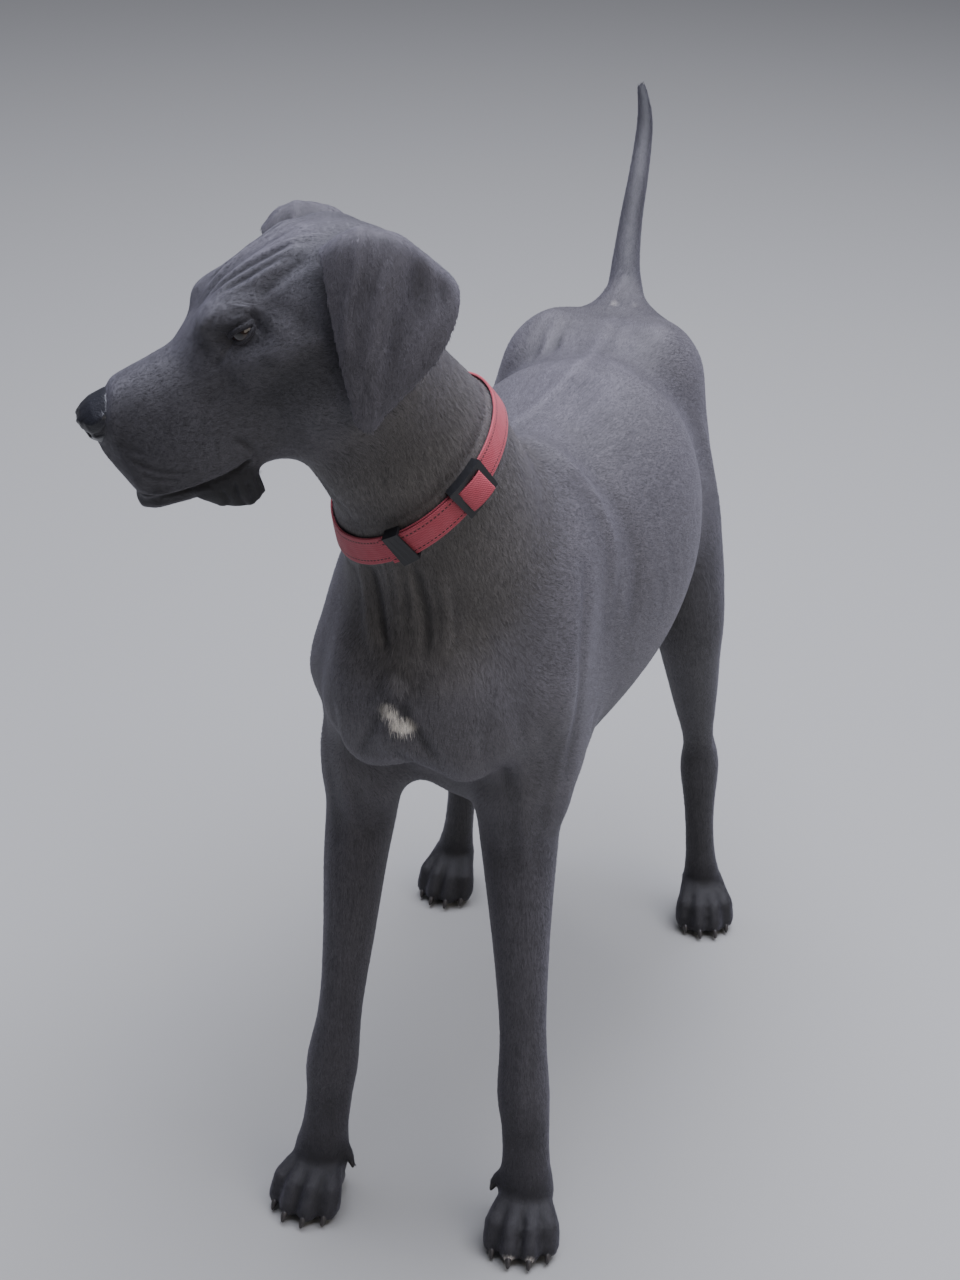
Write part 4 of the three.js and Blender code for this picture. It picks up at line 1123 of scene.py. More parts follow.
@dataclass(frozen=True)
class Unwrap:
    """An unwrap of the skin's own shape: each region has a cell for each side of a box that it is seen from.

    Attributes:
        anatomy: the frames.
        low: each region's lowest corner, in the frame that it is unwrapped in.
        high: its highest corner.
    """

    anatomy: Anatomy
    low: np.ndarray
    high: np.ndarray
    columns: int = 9
    margin: float = 0.06

    @staticmethod
    def around(anatomy: Anatomy, nodes: dict[str, bpy.types.Object]) -> Unwrap:
        """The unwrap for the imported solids."""
        low = np.full((REGIONS, 3), np.inf)
        high = np.full((REGIONS, 3), -np.inf)
        for name, obj in nodes.items():
            if name.startswith(("eye", "collar")):
                continue
            region = Region.of(name)
            points = np.array([v.co for v in obj.data.vertices])
            points = Unwrap.frame_of(anatomy, region.number).inward(points)
            low[region.number] = np.minimum(low[region.number], points.min(0))
            high[region.number] = np.maximum(high[region.number], points.max(0))
        return Unwrap(anatomy, low, high)

    @staticmethod
    def frame_of(anatomy: Anatomy, region: int) -> LocalFrame:
        """The frame that a region is unwrapped in."""
        return anatomy.head if region in HEADED else anatomy.body

    def place(self, points: np.ndarray, normals: np.ndarray, regions: np.ndarray) -> np.ndarray:
        """Where points lie on the unwrap.

        Args:
            points: places in metres.
            normals: their normals, which choose the side that they are seen from.
            regions: their regions' numbers.

        Returns:
            Their two coordinates, from 0 to 1.
        """
        uv = np.zeros((len(points), 2))
        rows = math.ceil(REGIONS * 6 / self.columns)
        for number in range(REGIONS):
            here = np.flatnonzero(regions == number)
            if not len(here):
                continue
            frame = self.frame_of(self.anatomy, number)
            local = frame.inward(points[here])
            facing = normals[here] @ frame.axes.T
            axis = np.abs(facing).argmax(1)
            front = facing[np.arange(len(here)), axis] > 0
            share = (local - self.low[number]) / np.maximum(self.high[number] - self.low[number], 1)
            share = np.clip(share, -0.02, 1.02)
            cell = number * 6 + axis * 2 + front
            two = np.array([[1, 2], [0, 2], [0, 1]])[axis]
            inside = np.take_along_axis(share, two, 1) * (1 - 2 * self.margin) + self.margin
            uv[here, 0] = (cell % self.columns + inside[:, 0]) / self.columns
            uv[here, 1] = (cell // self.columns + inside[:, 1]) / rows
        return uv

    def lay(self, skin: Skin) -> None:
        """Gives a skin its UV map, face by face."""
        mesh = skin.obj.data
        count = len(mesh.polygons)
        normals, centres = np.empty(count * 3), np.empty(count * 3)
        mesh.polygons.foreach_get("normal", normals)
        mesh.polygons.foreach_get("center", centres)
        totals, starts = np.empty(count, int), np.empty(count, int)
        mesh.polygons.foreach_get("loop_total", totals)
        mesh.polygons.foreach_get("loop_start", starts)
        corners = np.empty(len(mesh.loops), int)
        mesh.loops.foreach_get("vertex_index", corners)
        face_of = np.repeat(np.arange(count), totals)
        regions = skin.region[corners[starts]][face_of]
        uv = self.place(skin.co[corners], normals.reshape(-1, 3)[face_of], regions)
        layer = mesh.uv_layers.new(name="OFBake")
        layer.data.foreach_set("uv", uv.astype(np.float32).ravel())


# Making and finishing pieces


def link_piece(
    name: str, mesh: bpy.types.Mesh, material: bpy.types.Material | None = None
) -> bpy.types.Object:
    """A new object in the scene with that mesh and material."""
    obj = bpy.data.objects.new(name, mesh)
    bpy.context.scene.collection.objects.link(obj)
    if material:
        mesh.materials.append(material)
    return obj


def settled(obj: bpy.types.Object) -> bpy.types.Object:
    """The object with its modifiers applied to its mesh."""
    graph = bpy.context.evaluated_depsgraph_get()
    mesh = bpy.data.meshes.new_from_object(obj.evaluated_get(graph))
    old = obj.data
    obj.modifiers.clear()
    obj.data = mesh
    bpy.data.meshes.remove(old)
    return obj


def finish_piece(obj: bpy.types.Object, slot: str, *stands_for: str) -> bpy.types.Object:
    """Sets a piece on its body, in place of the solids that it stands for."""
    obj.data.polygons.foreach_set("use_smooth", [True] * len(obj.data.polygons))
    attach(obj, BODY)
    if stands_for:
        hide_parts(*stands_for)
    triangles = sum(len(p.vertices) - 2 for p in obj.data.polygons)
    log.info("%s: %d triangles", obj.name, triangles)
    return obj


def merged_copy(source: bpy.types.Object, grow: float = 0.0) -> bmesh.types.BMesh:
    """A CAD node's mesh as one closed shell, moved out along its normals.

    Args:
        source: the CAD node.
        grow: how far out, in millimetres.

    Returns:
        The shell.
    """
    made = bmesh.new()
    made.from_mesh(source.data)
    bmesh.ops.remove_doubles(made, verts=made.verts, dist=2e-6)
    bmesh.ops.recalc_face_normals(made, faces=made.faces)
    if grow:
        made.normal_update()
        for vertex in made.verts:
            vertex.co += vertex.normal * grow * MM
    return made


def cut_by(made: bmesh.types.BMesh, point: Vector, normal: Vector) -> None:
    """Takes away what lies past a plane and closes the cut.

    Args:
        made: the shell.
        point: a point on the plane.
        normal: the direction of what is taken away.
    """
    geometry = made.verts[:] + made.edges[:] + made.faces[:]
    cut = bmesh.ops.bisect_plane(made, geom=geometry, plane_co=point, plane_no=normal, clear_outer=True)
    edges = [e for e in cut["geom_cut"] if isinstance(e, bmesh.types.BMEdge)]
    bmesh.ops.edgeloop_fill(made, edges=edges)


@dataclass
class FleshShell:
    """One closed skin drawn over several of the solids.

    Attributes:
        name: the skin's name.
        solids: the solids that it covers.
        neck_cut: the side of the collar that its neck ends on: 1 keeps the head's side, -1 the body's.
        voxel: the size of the net that it is drawn with, in millimetres.
        grow: how far each solid is grown first, so that the gaps between them close, in millimetres.
        overlap: how far past the strap's middle it runs, in millimetres.
    """

    name: str
    solids: tuple[str, ...]
    neck_cut: int
    voxel: float
    grow: float = 0.5
    overlap: float = 5.0

    def drawn(
        self, anatomy: Anatomy, nodes: dict[str, bpy.types.Object], extras: Sequence[bpy.types.Mesh] = ()
    ) -> Skin:
        """Builds the skin.

        Args:
            anatomy: the frames.
            nodes: the CAD nodes by name.
            extras: closed meshes that the skin covers as well.

        Returns:
            The raw skin.
        """
        whole = bpy.data.meshes.new(self.name)
        together = bmesh.new()
        normal = Vector(COLLAR_NORMAL).normalized()
        centre = Vector(anatomy.body.outward(COLLAR_CENTRE))
        for name in self.solids:
            shell = merged_copy(nodes[name], self.grow)
            if name == "neck":
                away = -normal * self.neck_cut
                cut_by(shell, centre + away * self.overlap * MM, away)
            part = bpy.data.meshes.new(name + "_copy")
            shell.to_mesh(part)
            shell.free()
            together.from_mesh(part)
            bpy.data.meshes.remove(part)
        for extra in extras:
            together.from_mesh(extra)
            bpy.data.meshes.remove(extra)
        together.to_mesh(whole)
        together.free()
        obj = link_piece(self.name, whole)
        net = obj.modifiers.new("net", "REMESH")
        net.mode = "VOXEL"
        net.voxel_size = self.voxel * MM
        return Skin(settled(obj), anatomy)


def near_collar(anatomy: Anatomy, points: np.ndarray) -> np.ndarray:
    """Each point's distance from the strap's middle plane, in millimetres, or a long way elsewhere."""
    local = anatomy.body.inward(points) - np.array(COLLAR_CENTRE)
    away = np.abs(local @ unit(np.array(COLLAR_NORMAL)))
    return np.where(np.linalg.norm(local, axis=1) < 150, away, 1000.0)


def off_strap(anatomy: Anatomy, points: np.ndarray) -> np.ndarray:
    """How freely each point may be smoothed: 0 under the strap, rising to 1 beside it."""
    held, span = 9, 12  # millimetres from the strap's middle
    return ease((near_collar(anatomy, points) - held) / span)


def seat_collar(skin: Skin, lift: float = 1.9) -> None:
    """Lifts the neck's fur against the strap.

    Args:
        skin: the skin.
        lift: how far, in millimetres.
    """
    away = near_collar(skin.anatomy, skin.co)
    upright = 1 - np.abs(skin.normal @ unit(np.array(COLLAR_NORMAL)))
    share = ease((22 - away) / 10) * ease(upright / 0.4)
    skin.co += skin.normal * (share * lift * MM)[:, None]
    skin.turn_normals()


Points = tuple[tuple[float, float, float], ...]


@dataclass(frozen=True)
class Ear:
    """An ear folded forward at its root, hanging beside the cheek: a thin sheet between three curves.

    Attributes:
        side: 1 on the left and -1 on the right.
        forward: how much further forward its root sits than the curves say.
        lift: how much higher its root sits.
        front: the front edge from root to tip, in the head's frame, for a left ear.
        middle: the middle from root to tip.
        rear: the rear edge from root to tip.
        thickness: its thickness in the middle.
    """

    side: int
    forward: float = 0.0
    lift: float = 0.0
    front: Points = ((76, 42, 58), (82, 76, 62), (95, 89, 4), (106, 89, -61))
    middle: Points = ((42, 46, 58), (32, 82, 60), (66, 97, -4), (98, 91, -75))
    rear: Points = ((0, 46, 14), (-6, 74, -6), (26, 88, -40), (88, 90, -70))
    thickness: float = 4.8
    rows: int = 64
    columns: int = 52

    def edge(self, points: Points, u: np.ndarray) -> np.ndarray:
        """One of the three curves, at shares of its length."""
        curve = smooth_curve(np.array(points, float), 21)
        place = u * (len(curve) - 1)
        made = np.stack([np.interp(place, np.arange(len(curve)), curve[:, k]) for k in range(3)], 1)
        made[:, 0] += self.forward * (1 - 0.6 * u)
        made[:, 2] += self.lift * (1 - u)
        return made

    def relief(self, u: np.ndarray, t: np.ndarray) -> np.ndarray:
        """How far the ear's leather stands out: thin ridges down it, a deep fold behind and a rolled rim."""

        def ridge(path: tuple[tuple[float, float], ...], width: float, height: float) -> np.ndarray:
            (u0, _), (u1, _) = path[0], path[-1]
            middle = np.interp(u, [p[0] for p in path], [p[1] for p in path])
            ends = ease((u - u0) / 0.12) * ease((u1 - u) / 0.15)
            return height * np.exp(-(((t - middle) / width) ** 2)) * ends

        def pocket(u0: float, t0: float, du: float, dt: float, height: float) -> np.ndarray:
            return height * np.exp(-(((u - u0) / du) ** 2) - ((t - t0) / dt) ** 2)

        out = ridge(((0.1, 0.34), (0.3, 0.33), (0.45, 0.3), (0.56, 0.2), (0.8, 0.16)), 0.045, 2.2)
        out += ridge(((0.38, 0.54), (0.6, 0.47), (0.85, 0.38)), 0.04, 2.0)
        out += ridge(((0.2, 0.46), (0.4, 0.43), (0.55, 0.36)), 0.04, 1.2)
        out += pocket(0.46, 0.76, 0.13, 0.1, -7.0) + pocket(0.66, 0.68, 0.14, 0.1, -4.5)
        out += pocket(0.3, 0.62, 0.13, 0.1, 2.2) + pocket(0.34, 0.2, 0.12, 0.13, 2.0)
        out += ridge(((0.28, 0.9), (0.42, 0.9), (0.54, 0.94)), 0.035, -3.0)
        rim = np.exp(-((t / 0.035) ** 2)) + np.exp(-(((1 - t) / 0.035) ** 2))
        return out + 1.1 * rim

    def mesh(self, anatomy: Anatomy) -> bpy.types.Mesh:
        """The ear as a closed mesh.

        Args:
            anatomy: the frames.

        Returns:
            The mesh, whose root lies inside the head.
        """
        u, t = np.meshgrid(np.linspace(0, 1, self.rows), np.linspace(0, 1, self.columns), indexing="ij")
        flat_u = u.ravel()
        front, middle, rear = (
            self.edge(points, flat_u).reshape(self.rows, self.columns, 3)
            for points in (self.front, self.middle, self.rear)
        )
        k = t[..., None]
        sheet = front * (1 - k) * (1 - 2 * k) + middle * 4 * k * (1 - k) + rear * k * (2 * k - 1)
        down, back = np.gradient(sheet, axis=0), np.gradient(sheet, axis=1)
        out = unit(np.cross(down, back))
        for _ in range(6):
            out[1:-1] = unit(out[:-2] + 2 * out[1:-1] + out[2:])
        sheet = sheet + out * self.relief(u, t)[..., None]
        half = self.thickness / 2 * (0.6 + 0.4 * np.sin(np.pi * t)) * (1 - 0.2 * u)
        outer, inner = sheet + out * half[..., None], sheet - out * half[..., None]
        ring = np.concatenate([outer, inner[:, ::-1]], 1)
        size = 2 * self.columns
        points = anatomy.head.outward(ring.reshape(-1, 3) * np.array([1, self.side, 1]))
        made = bmesh.new()
        verts = [made.verts.new(p) for p in points]
        for i in range(self.rows - 1):
            for j in range(size):
                n = (j + 1) % size
                corners = (i * size + j, i * size + n, (i + 1) * size + n, (i + 1) * size + j)
                made.faces.new([verts[c] for c in corners])
        for i in (0, self.rows - 1):
            for j in range(self.columns - 1):
                corners = (j, j + 1, size - 2 - j, size - 1 - j)
                made.faces.new([verts[i * size + c] for c in corners])
        bmesh.ops.recalc_face_normals(made, faces=made.faces)
        mesh = bpy.data.meshes.new("ear_sheet")
        made.to_mesh(mesh)
        made.free()
        return mesh


@dataclass(frozen=True)
class Lids:
    """The lids of one eye: an almond opening whose thick rims rest on the ball.

    Attributes:
        side: 1 on the left and -1 on the right.
        half_width: degrees from the opening's middle to its corners, seen from the ball's centre.
        upper: degrees from the line of sight up to the upper lid's edge.
        lower: degrees down to the lower lid's edge.
        slant: degrees that the inner corner lies lower than the middle.
        rim: the lids' thickness.
        reach: how far from the ball's centre the lids shape the skin.
    """

    side: int
    half_width: float = 52.0
    upper: float = 10.0
    lower: float = 15.0
    slant: float = 9.0
    rim: float = 1.7
    reach: float = 27.0

    def seen(self, anatomy: Anatomy, points: np.ndarray) -> tuple[np.ndarray, ...]:
        """Points as seen from the ball's centre.

        Args:
            anatomy: the frames.
            points: places in metres.

        Returns:
            Their distance from it, degrees forwards and up from the line of sight, and share in front.
        """
        ahead = unit(np.array([0.4, 0.915 * self.side, -0.03]))
        along = np.array([0.915, -0.4 * self.side, -0.1])
        along = unit(along - ahead * (along @ ahead))
        above = np.cross(ahead, along) * -self.side
        from_ball = anatomy.head.inward(points) - np.array(EYE_PLACE) * np.array([1, self.side, 1])
        distance = np.maximum(np.linalg.norm(from_ball, axis=1), 1e-6)
        forwards = np.degrees(np.arctan2(from_ball @ along, from_ball @ ahead))
        up = np.degrees(np.arcsin(np.clip(from_ball @ above / distance, -1, 1)))
        return distance, forwards, up, from_ball @ ahead / distance

    def shape(self, skin: Skin) -> None:
        """Cuts the opening into a skin and shapes the lids round it.

        Args:
            skin: the skin, whose net is fine enough there.
        """
        distance, forwards, up, facing = self.seen(skin.anatomy, skin.co)
        t = forwards / self.half_width
        inside = np.clip(1 - np.abs(t) ** 2.0, 0, 1)
        middle = -self.slant * np.clip(t, -1.2, 1.2)
        over = up - middle - self.upper * inside**0.9
        under = middle - self.lower * inside**0.8 - up
        beyond = np.abs(forwards) - self.half_width
        outside = np.radians(np.maximum(np.maximum(over, under), beyond)) * EYE_RADIUS
        lid = EYE_RADIUS + 0.1 + self.rim * (1 - np.exp(-((np.maximum(outside, 0) / 0.9) ** 2)))
        lid -= 3.0 * ease(-outside / 0.8)
        upper_side = ease((up - middle) / 6)

        def band(away: float, width: float) -> np.ndarray:
            """A band round the opening, that far outside it and that wide, in millimetres."""
            return np.exp(-(((outside - away) / width) ** 2))

        crease = band(5.0, 1.1) * upper_side * 1.1
        pouch = band(4.2, 1.2) * (1 - upper_side) * 0.7
        brow = band(11.0, 4.5) * upper_side * 2.2
        skin_there = np.maximum(distance, EYE_RADIUS + self.rim + 0.4)
        blend = ease((outside - 2.2) / 7.5)
        wanted = lid * (1 - blend) + skin_there * blend - crease - pouch + brow * blend
        share = ease((self.reach - distance) / 6) * ease((facing - 0.02) / 0.12)
        eye = skin.anatomy.head.outward(np.array(EYE_PLACE) * np.array([1, self.side, 1]))
        scale = (1 + share * (wanted / distance - 1))[:, None]
        skin.co = eye + (skin.co - eye) * scale
        skin.turn_normals()


SUNK_SHARE = 0.6  # of the coat's depth, which the skin sinks to leave room for the tufts
HEAD_SOLIDS = ("neck", "head", "lower_jaw", "nose", "eye_left", "eye_right")
EARS = ("ear_left", "ear_right")
BODY_SOLIDS = (
    "neck",
    "torso",
    "tail",
    "foreleg_left",
    "foreleg_right",
    "hindleg_left",
    "hindleg_right",
    "forepaw_left",
    "forepaw_right",
    "hindpaw_left",
    "hindpaw_right",
)


@dataclass
class HeadSkin:
    """The skin of head, ears, lower jaw and upper neck, down to the collar."""

    shell: FleshShell = field(default_factory=lambda: FleshShell("skin_head", HEAD_SOLIDS, 1, 1.95))
    ears: tuple[Ear, ...] = (Ear(1), Ear(-1, forward=44.0, lift=-18.0))
    lids: tuple[Lids, ...] = (Lids(1), Lids(-1))
    coat_depth: float = 1.0
    most_triangles: int = 192000
    mouth_corner: float = 176.0
    mouth_level: float = -88.0
    mouth_half: float = 18.0
    muzzle_tip: float = 272.0

    def folds(self) -> list[Fold | Swell]:
        """The wrinkles, lids, lips and ear folds, in the head's frame."""
        top = [
            Fold(View.HEAD_TOP, ((180, 8), (152, 11), (122, 15), (92, 20), (64, 22)), 4.0, 1.9),
            Fold(View.HEAD_TOP, ((172, 18), (150, 22), (124, 27), (98, 31), (76, 33)), 3.6, 1.7),
            Fold(View.HEAD_TOP, ((160, 31), (140, 34), (118, 37), (98, 39)), 3.4, 1.3),
            Fold(View.HEAD_TOP, ((176, 13), (150, 16.5), (122, 21), (94, 26)), 2.6, -1.7),
            Fold(View.HEAD_TOP, ((164, 25), (146, 28), (122, 32), (100, 35)), 2.4, -1.5),
        ]
        crown = [Fold(View.HEAD_TOP, ((196, 0), (160, 0), (120, 0), (80, 0)), 5.0, -2.0)]
        side = [
            # inner corner of the eye, cheekbone and the hollow below it
            Fold(View.HEAD_LEFT, ((172, 17), (180, 11), (190, 4)), 2.4, -1.3),
            Fold(View.HEAD_LEFT, ((150, 0), (122, 2), (96, 6)), 7.0, 1.6),
            Fold(View.HEAD_LEFT, ((170, -6), (190, -14), (214, -22)), 9.0, -1.8),
            Fold(View.HEAD_LEFT, ((140, 44), (120, 30), (104, 12)), 9.0, -1.6),
            Fold(View.HEAD_LEFT, ((146, 50), (124, 56), (104, 62), (86, 66)), 3.4, 2.2),
            Fold(View.HEAD_LEFT, ((142, 44), (122, 49), (102, 55), (86, 58)), 3.0, -1.8),
            # the mouth, its corner and the lips' rolled edges
            Fold(
                View.HEAD_LEFT,
                ((188, -79), (206, -83), (232, -84), (258, -83), (278, -80), (294, -73)),
                1.7,
                -4.6,
                fade=0.1,
            ),
            Fold(
                View.HEAD_LEFT,
                ((196, -75), (210, -78), (234, -79), (258, -78), (278, -75)),
                2.6,
                1.5,
                fade=0.15,
            ),
            Fold(View.HEAD_LEFT, ((228, -90), (240, -90), (258, -89), (278, -86)), 2.8, 1.3, fade=0.15),
            Fold(View.HEAD_LEFT, ((198, -50), (187, -70), (184, -90)), 4.0, -2.0),
            # the whisker pad and the soft folds behind it
            Fold(View.HEAD_LEFT, ((284, -36), (268, -52), (250, -63), (230, -69)), 2.8, -1.2),
            Fold(View.HEAD_LEFT, ((278, -54), (264, -64), (246, -71)), 2.2, -1.0),
            Fold(View.HEAD_LEFT, ((286, -22), (276, -34), (262, -42)), 3.2, -0.9),
        ]
        lobe = [
            Fold(View.HEAD_LEFT, ((s, -90 - drop), (s + bend, -106), (s - bend, -122 + drop)), width, -1.5)
            for s, bend, drop, width in (
                (192, 2, 0, 1.8), (203, -3, 4, 2.4), (211, 3, 0, 1.6), (224, -2, 3, 2.2)
            )
        ]
        below = [
            Fold(View.HEAD_FRONT, ((0, -32), (0, -48), (0, -70)), 1.6, -2.0),
            Fold(View.HEAD_BELOW, ((180, 0), (150, 0), (120, 0)), 6.0, -1.6),
        ]
        pads = [Swell(True, (262, 27.0 * hand, -48), (26, 14, 20), 1.6) for hand in (1, -1)]
        return with_mirrors(top + side + lobe) + crown + below + pads

    def build(self, anatomy: Anatomy, nodes: dict[str, bpy.types.Object]) -> Skin:
        """Builds and shapes the skin.

        Args:
            anatomy: the frames.
            nodes: the CAD nodes by name.

        Returns:
            The finished skin.
        """
        ears = [ear.mesh(anatomy) for ear in self.ears]
        skin = self.shell.drawn(anatomy, nodes, ears)
        table = {Region.NECK: 44, Region.EAR: 5, Region.JAW: 12, Region.NOSE: 6}
        skin.find_regions(nodes, HEAD_SOLIDS + EARS)
        steps = skin.spread(by_region(table, 22)[skin.region], 8)
        steps *= off_strap(anatomy, skin.co)
        skin.relax(steps)
        local = anatomy.head.inward(skin.co)
        off_mouth = np.abs(local[:, 2] - self.mouth_level)
        mouth = (local[:, 0] > self.mouth_corner) & (off_mouth < self.mouth_half)
        mouth |= local[:, 0] > self.muzzle_tip
        skin.refine(mouth, 1)
        for lids in self.lids:
            distance, _, _, facing = lids.seen(anatomy, skin.co)
            skin.refine((distance < lids.reach) & (facing > -0.1), 3)
        sculpt(skin, self.folds())
        for lids in self.lids:
            lids.shape(skin)
        skin.relax(np.full(len(skin.co), 1.0))
        seat_collar(skin)
        skin.find_regions(nodes, HEAD_SOLIDS + EARS)
        shrink = by_region({Region.EAR: 0.3}, 1.0)[skin.region]
        for lids in self.lids:
            distance, _, _, facing = lids.seen(anatomy, skin.co)
            shrink *= np.where(facing > 0, ease((distance - 18) / 8), 1.0)
        skin.co -= skin.normal * (shrink * (self.shell.grow + self.coat_depth) * MM * SUNK_SHARE)[:, None]
        skin.turn_normals()
        plain = anatomy.head.inward(skin.co)[:, 0] < self.mouth_corner
        for lids in self.lids:
            plain &= lids.seen(anatomy, skin.co)[0] > lids.reach
        skin.thin(plain, self.most_triangles)
        skin.find_regions(nodes, HEAD_SOLIDS + EARS)
        return skin


@dataclass
class BodySkin:
    """The skin of torso, legs, paws, tail and lower neck, up to the collar."""

    shell: FleshShell = field(default_factory=lambda: FleshShell("skin_body", BODY_SOLIDS, -1, 2.6))
    coat_depth: float = 1.0
    most_triangles: int = 192000
    paws_top: float = 110.0

    def folds(self) -> list[Fold | Swell]:
        """Muscles, ribs, tendons and skin folds, in the body's frame."""
        sides = [
            # shoulder blade, and the hollow behind it
            Fold(View.LEFT, ((-176, 800), (-158, 778), (-146, 738), (-152, 690), (-176, 640)), 13.0, 3.4),
            Fold(View.LEFT, ((-128, 790), (-112, 730), (-112, 660), (-128, 600)), 17.0, -3.0),
            # the crease from shoulder to elbow along the front of the ribs
            Fold(View.LEFT, ((-214, 730), (-236, 690), (-254, 640), (-256, 560), (-254, 480)), 9.0, -2.4),
            Fold(View.LEFT, ((-176, 560), (-184, 510), (-186, 470)), 9.0, -2.0),
            # loin, thigh and flank
            Fold(View.LEFT, ((120, 470), (150, 530), (166, 600), (176, 680)), 14.0, -3.4),
            Fold(View.LEFT, ((230, 700), (268, 640), (286, 560), (290, 480)), 13.0, 1.8),
            Fold(View.LEFT, ((300, 640), (318, 580), (318, 510)), 9.0, -2.0),
        ]
        arms = [
            # the muscle down the front of each upper arm and forearm
            Fold(View.FRONT, ((78, 660), (84, 590), (88, 520), (84, 440), (86, 380)), 7.0, 2.0),
            Fold(View.FRONT, ((66, 640), (70, 570), (72, 500)), 6.0, -1.8),
            Fold(View.FRONT, ((106, 640), (108, 560), (104, 490), (100, 420)), 6.0, -1.6),
        ]
        ribs = [
            Fold(
                View.LEFT,
                ((-84 + n * 31, 680), (-66 + n * 30, 620), (-58 + n * 28, 545 - n * 3)),
                9.5,
                0.45,
                fade=0.5,
            )
            for n in range(6)
        ]
        chest = [
            # the two cords of the throat, the hollows beside them and the breastbone's point
            Fold(View.FRONT, ((-33, 770), (-24, 716), (-13, 680)), 4.0, -3.6),
            Fold(View.FRONT, ((8, 780), (18, 724), (20, 680)), 4.5, -3.4),
            Fold(View.FRONT, ((-10, 790), (-6, 740), (-3, 690)), 6.0, 1.8),
            Fold(View.FRONT, ((-19, 780), (-15, 740), (-9, 705)), 2.2, 1.1),
            Fold(View.FRONT, ((4, 780), (7, 740), (5, 705)), 2.2, 1.1),
            Fold(View.FRONT, ((-46, 780), (-38, 716), (-28, 676)), 5.0, 2.6),
            Fold(View.FRONT, ((28, 780), (35, 716), (34, 676)), 5.0, 2.6),
            Fold(View.FRONT, ((-1, 650), (8, 630), (19, 612), (36, 568)), 5.0, -2.6),
            Fold(View.FRONT, ((-8, 648), (-20, 622), (-34, 590), (-50, 560)), 5.0, -2.2),
            Fold(View.FRONT, ((-3, 600), (-4, 560), (-4, 520)), 7.0, -2.6),
            Swell(False, (-5, -392, 657), (15, 40, 15), 3.6),
            Swell(False, (44, -370, 640), (34, 60, 62), 3.2),
            Swell(False, (-52, -366, 640), (34, 60, 62), 3.2),
            Swell(False, (-2, -385, 548), (62, 70, 74), -11.0),
        ]
        back = [
            Fold(View.TOP, ((4, -190), (10, -60), (16, 80), (12, 220), (4, 320)), 7.0, 1.2),
            Fold(View.TOP, ((34, -120), (40, 40), (36, 200)), 16.0, -1.2),
            Fold(View.TOP, ((-20, -120), (-12, 40), (-16, 200)), 16.0, -1.2),
        ]
        hips = [Swell(False, (58.0 * side + 6, 262, 752), (30, 34, 30), 3.0) for side in (1, -1)]
        points = [Swell(False, (40.0 * side, 392, 690), (26, 30, 30), 2.4) for side in (1, -1)]
        tendons = [
            # the gap between shin and heel tendon, on both faces of each hind leg
            Fold(View.LEFT, ((292, 352), (312, 305), (333, 258), (342, 226)), 6.5, -3.0, (60, 220)),
            Fold(View.RIGHT, ((292, 352), (312, 305), (333, 258), (342, 226)), 6.5, -3.0, (60, 220)),
            Fold(View.LEFT, ((252, 352), (271, 305), (291, 258), (300, 226)), 6.5, -3.0, (-220, -60)),
            Fold(View.RIGHT, ((252, 352), (271, 305), (291, 258), (300, 226)), 6.5, -3.0, (-220, -60)),
        ]
        wrists = [
            Swell(False, (97, -240, 152), (18, 16, 20), 3.0),
            Swell(False, (-97, -256, 152), (18, 16, 20), 3.0),
            Fold(View.FRONT, ((97, 250), (98, 200), (100, 150), (102, 96)), 6.0, 1.0, (-330, -240)),
            Fold(View.FRONT, ((-95, 250), (-97, 200), (-99, 150), (-101, 96)), 6.0, 1.0, (-340, -250)),
        ]
        return with_mirrors(sides + ribs + arms) + chest + back + hips + points + tendons + wrists

    def build(self, anatomy: Anatomy, nodes: dict[str, bpy.types.Object]) -> Skin:
        """Builds, shapes and thins the skin.

        Args:
            anatomy: the frames.
            nodes: the CAD nodes by name.

        Returns:
            The finished skin.
        """
        skin = self.shell.drawn(anatomy, nodes)
        skin.find_regions(nodes, self.shell.solids)
        table = {Region.TORSO: 42, Region.NECK: 34, Region.FOREPAW: 6, Region.HINDPAW: 6, Region.TAIL: 9}
        steps = skin.spread(by_region(table, 20)[skin.region], 16)
        steps *= off_strap(anatomy, skin.co)
        skin.relax(steps)
        sculpt(skin, self.folds())
        skin.relax(np.full(len(skin.co), 1.0))
        seat_collar(skin)
        place = anatomy.body.inward(skin.co)
        inward = np.where(place[:, 2] < 4, 0.3, 1.0)
        skin.co -= skin.normal * (inward * (self.shell.grow + self.coat_depth) * MM * SUNK_SHARE)[:, None]
        skin.write()
        skin.thin(place[:, 2] > self.paws_top, self.most_triangles)
        skin.find_regions(nodes, self.shell.solids)
        return skin


# Tufts


@dataclass(frozen=True)
class Growth:
    """How the coat grows in one region.

    Attributes:
        density: tufts in each square centimetre.
        length: their length in millimetres.
        stand: how far their tips stand off the skin, in millimetres.
    """

    density: float
    length: float
    stand: float


GROWTH = {
    Region.HEAD: Growth(20, 4.0, 0.5),
    Region.EAR: Growth(20, 4.0, 0.5),
    Region.JAW: Growth(16, 3.5, 0.5),
    Region.NECK: Growth(24, 8.0, 0.6),
    Region.TORSO: Growth(19, 8.0, 0.5),
    Region.FORELEG: Growth(20, 6.5, 0.5),
    Region.HINDLEG: Growth(19, 7.0, 0.6),
    Region.FOREPAW: Growth(24, 4.5, 0.6),
    Region.HINDPAW: Growth(24, 4.5, 0.6),
    Region.TAIL: Growth(26, 8.0, 0.5),
    Region.NOSE: Growth(0, 3.0, 0.3),
}


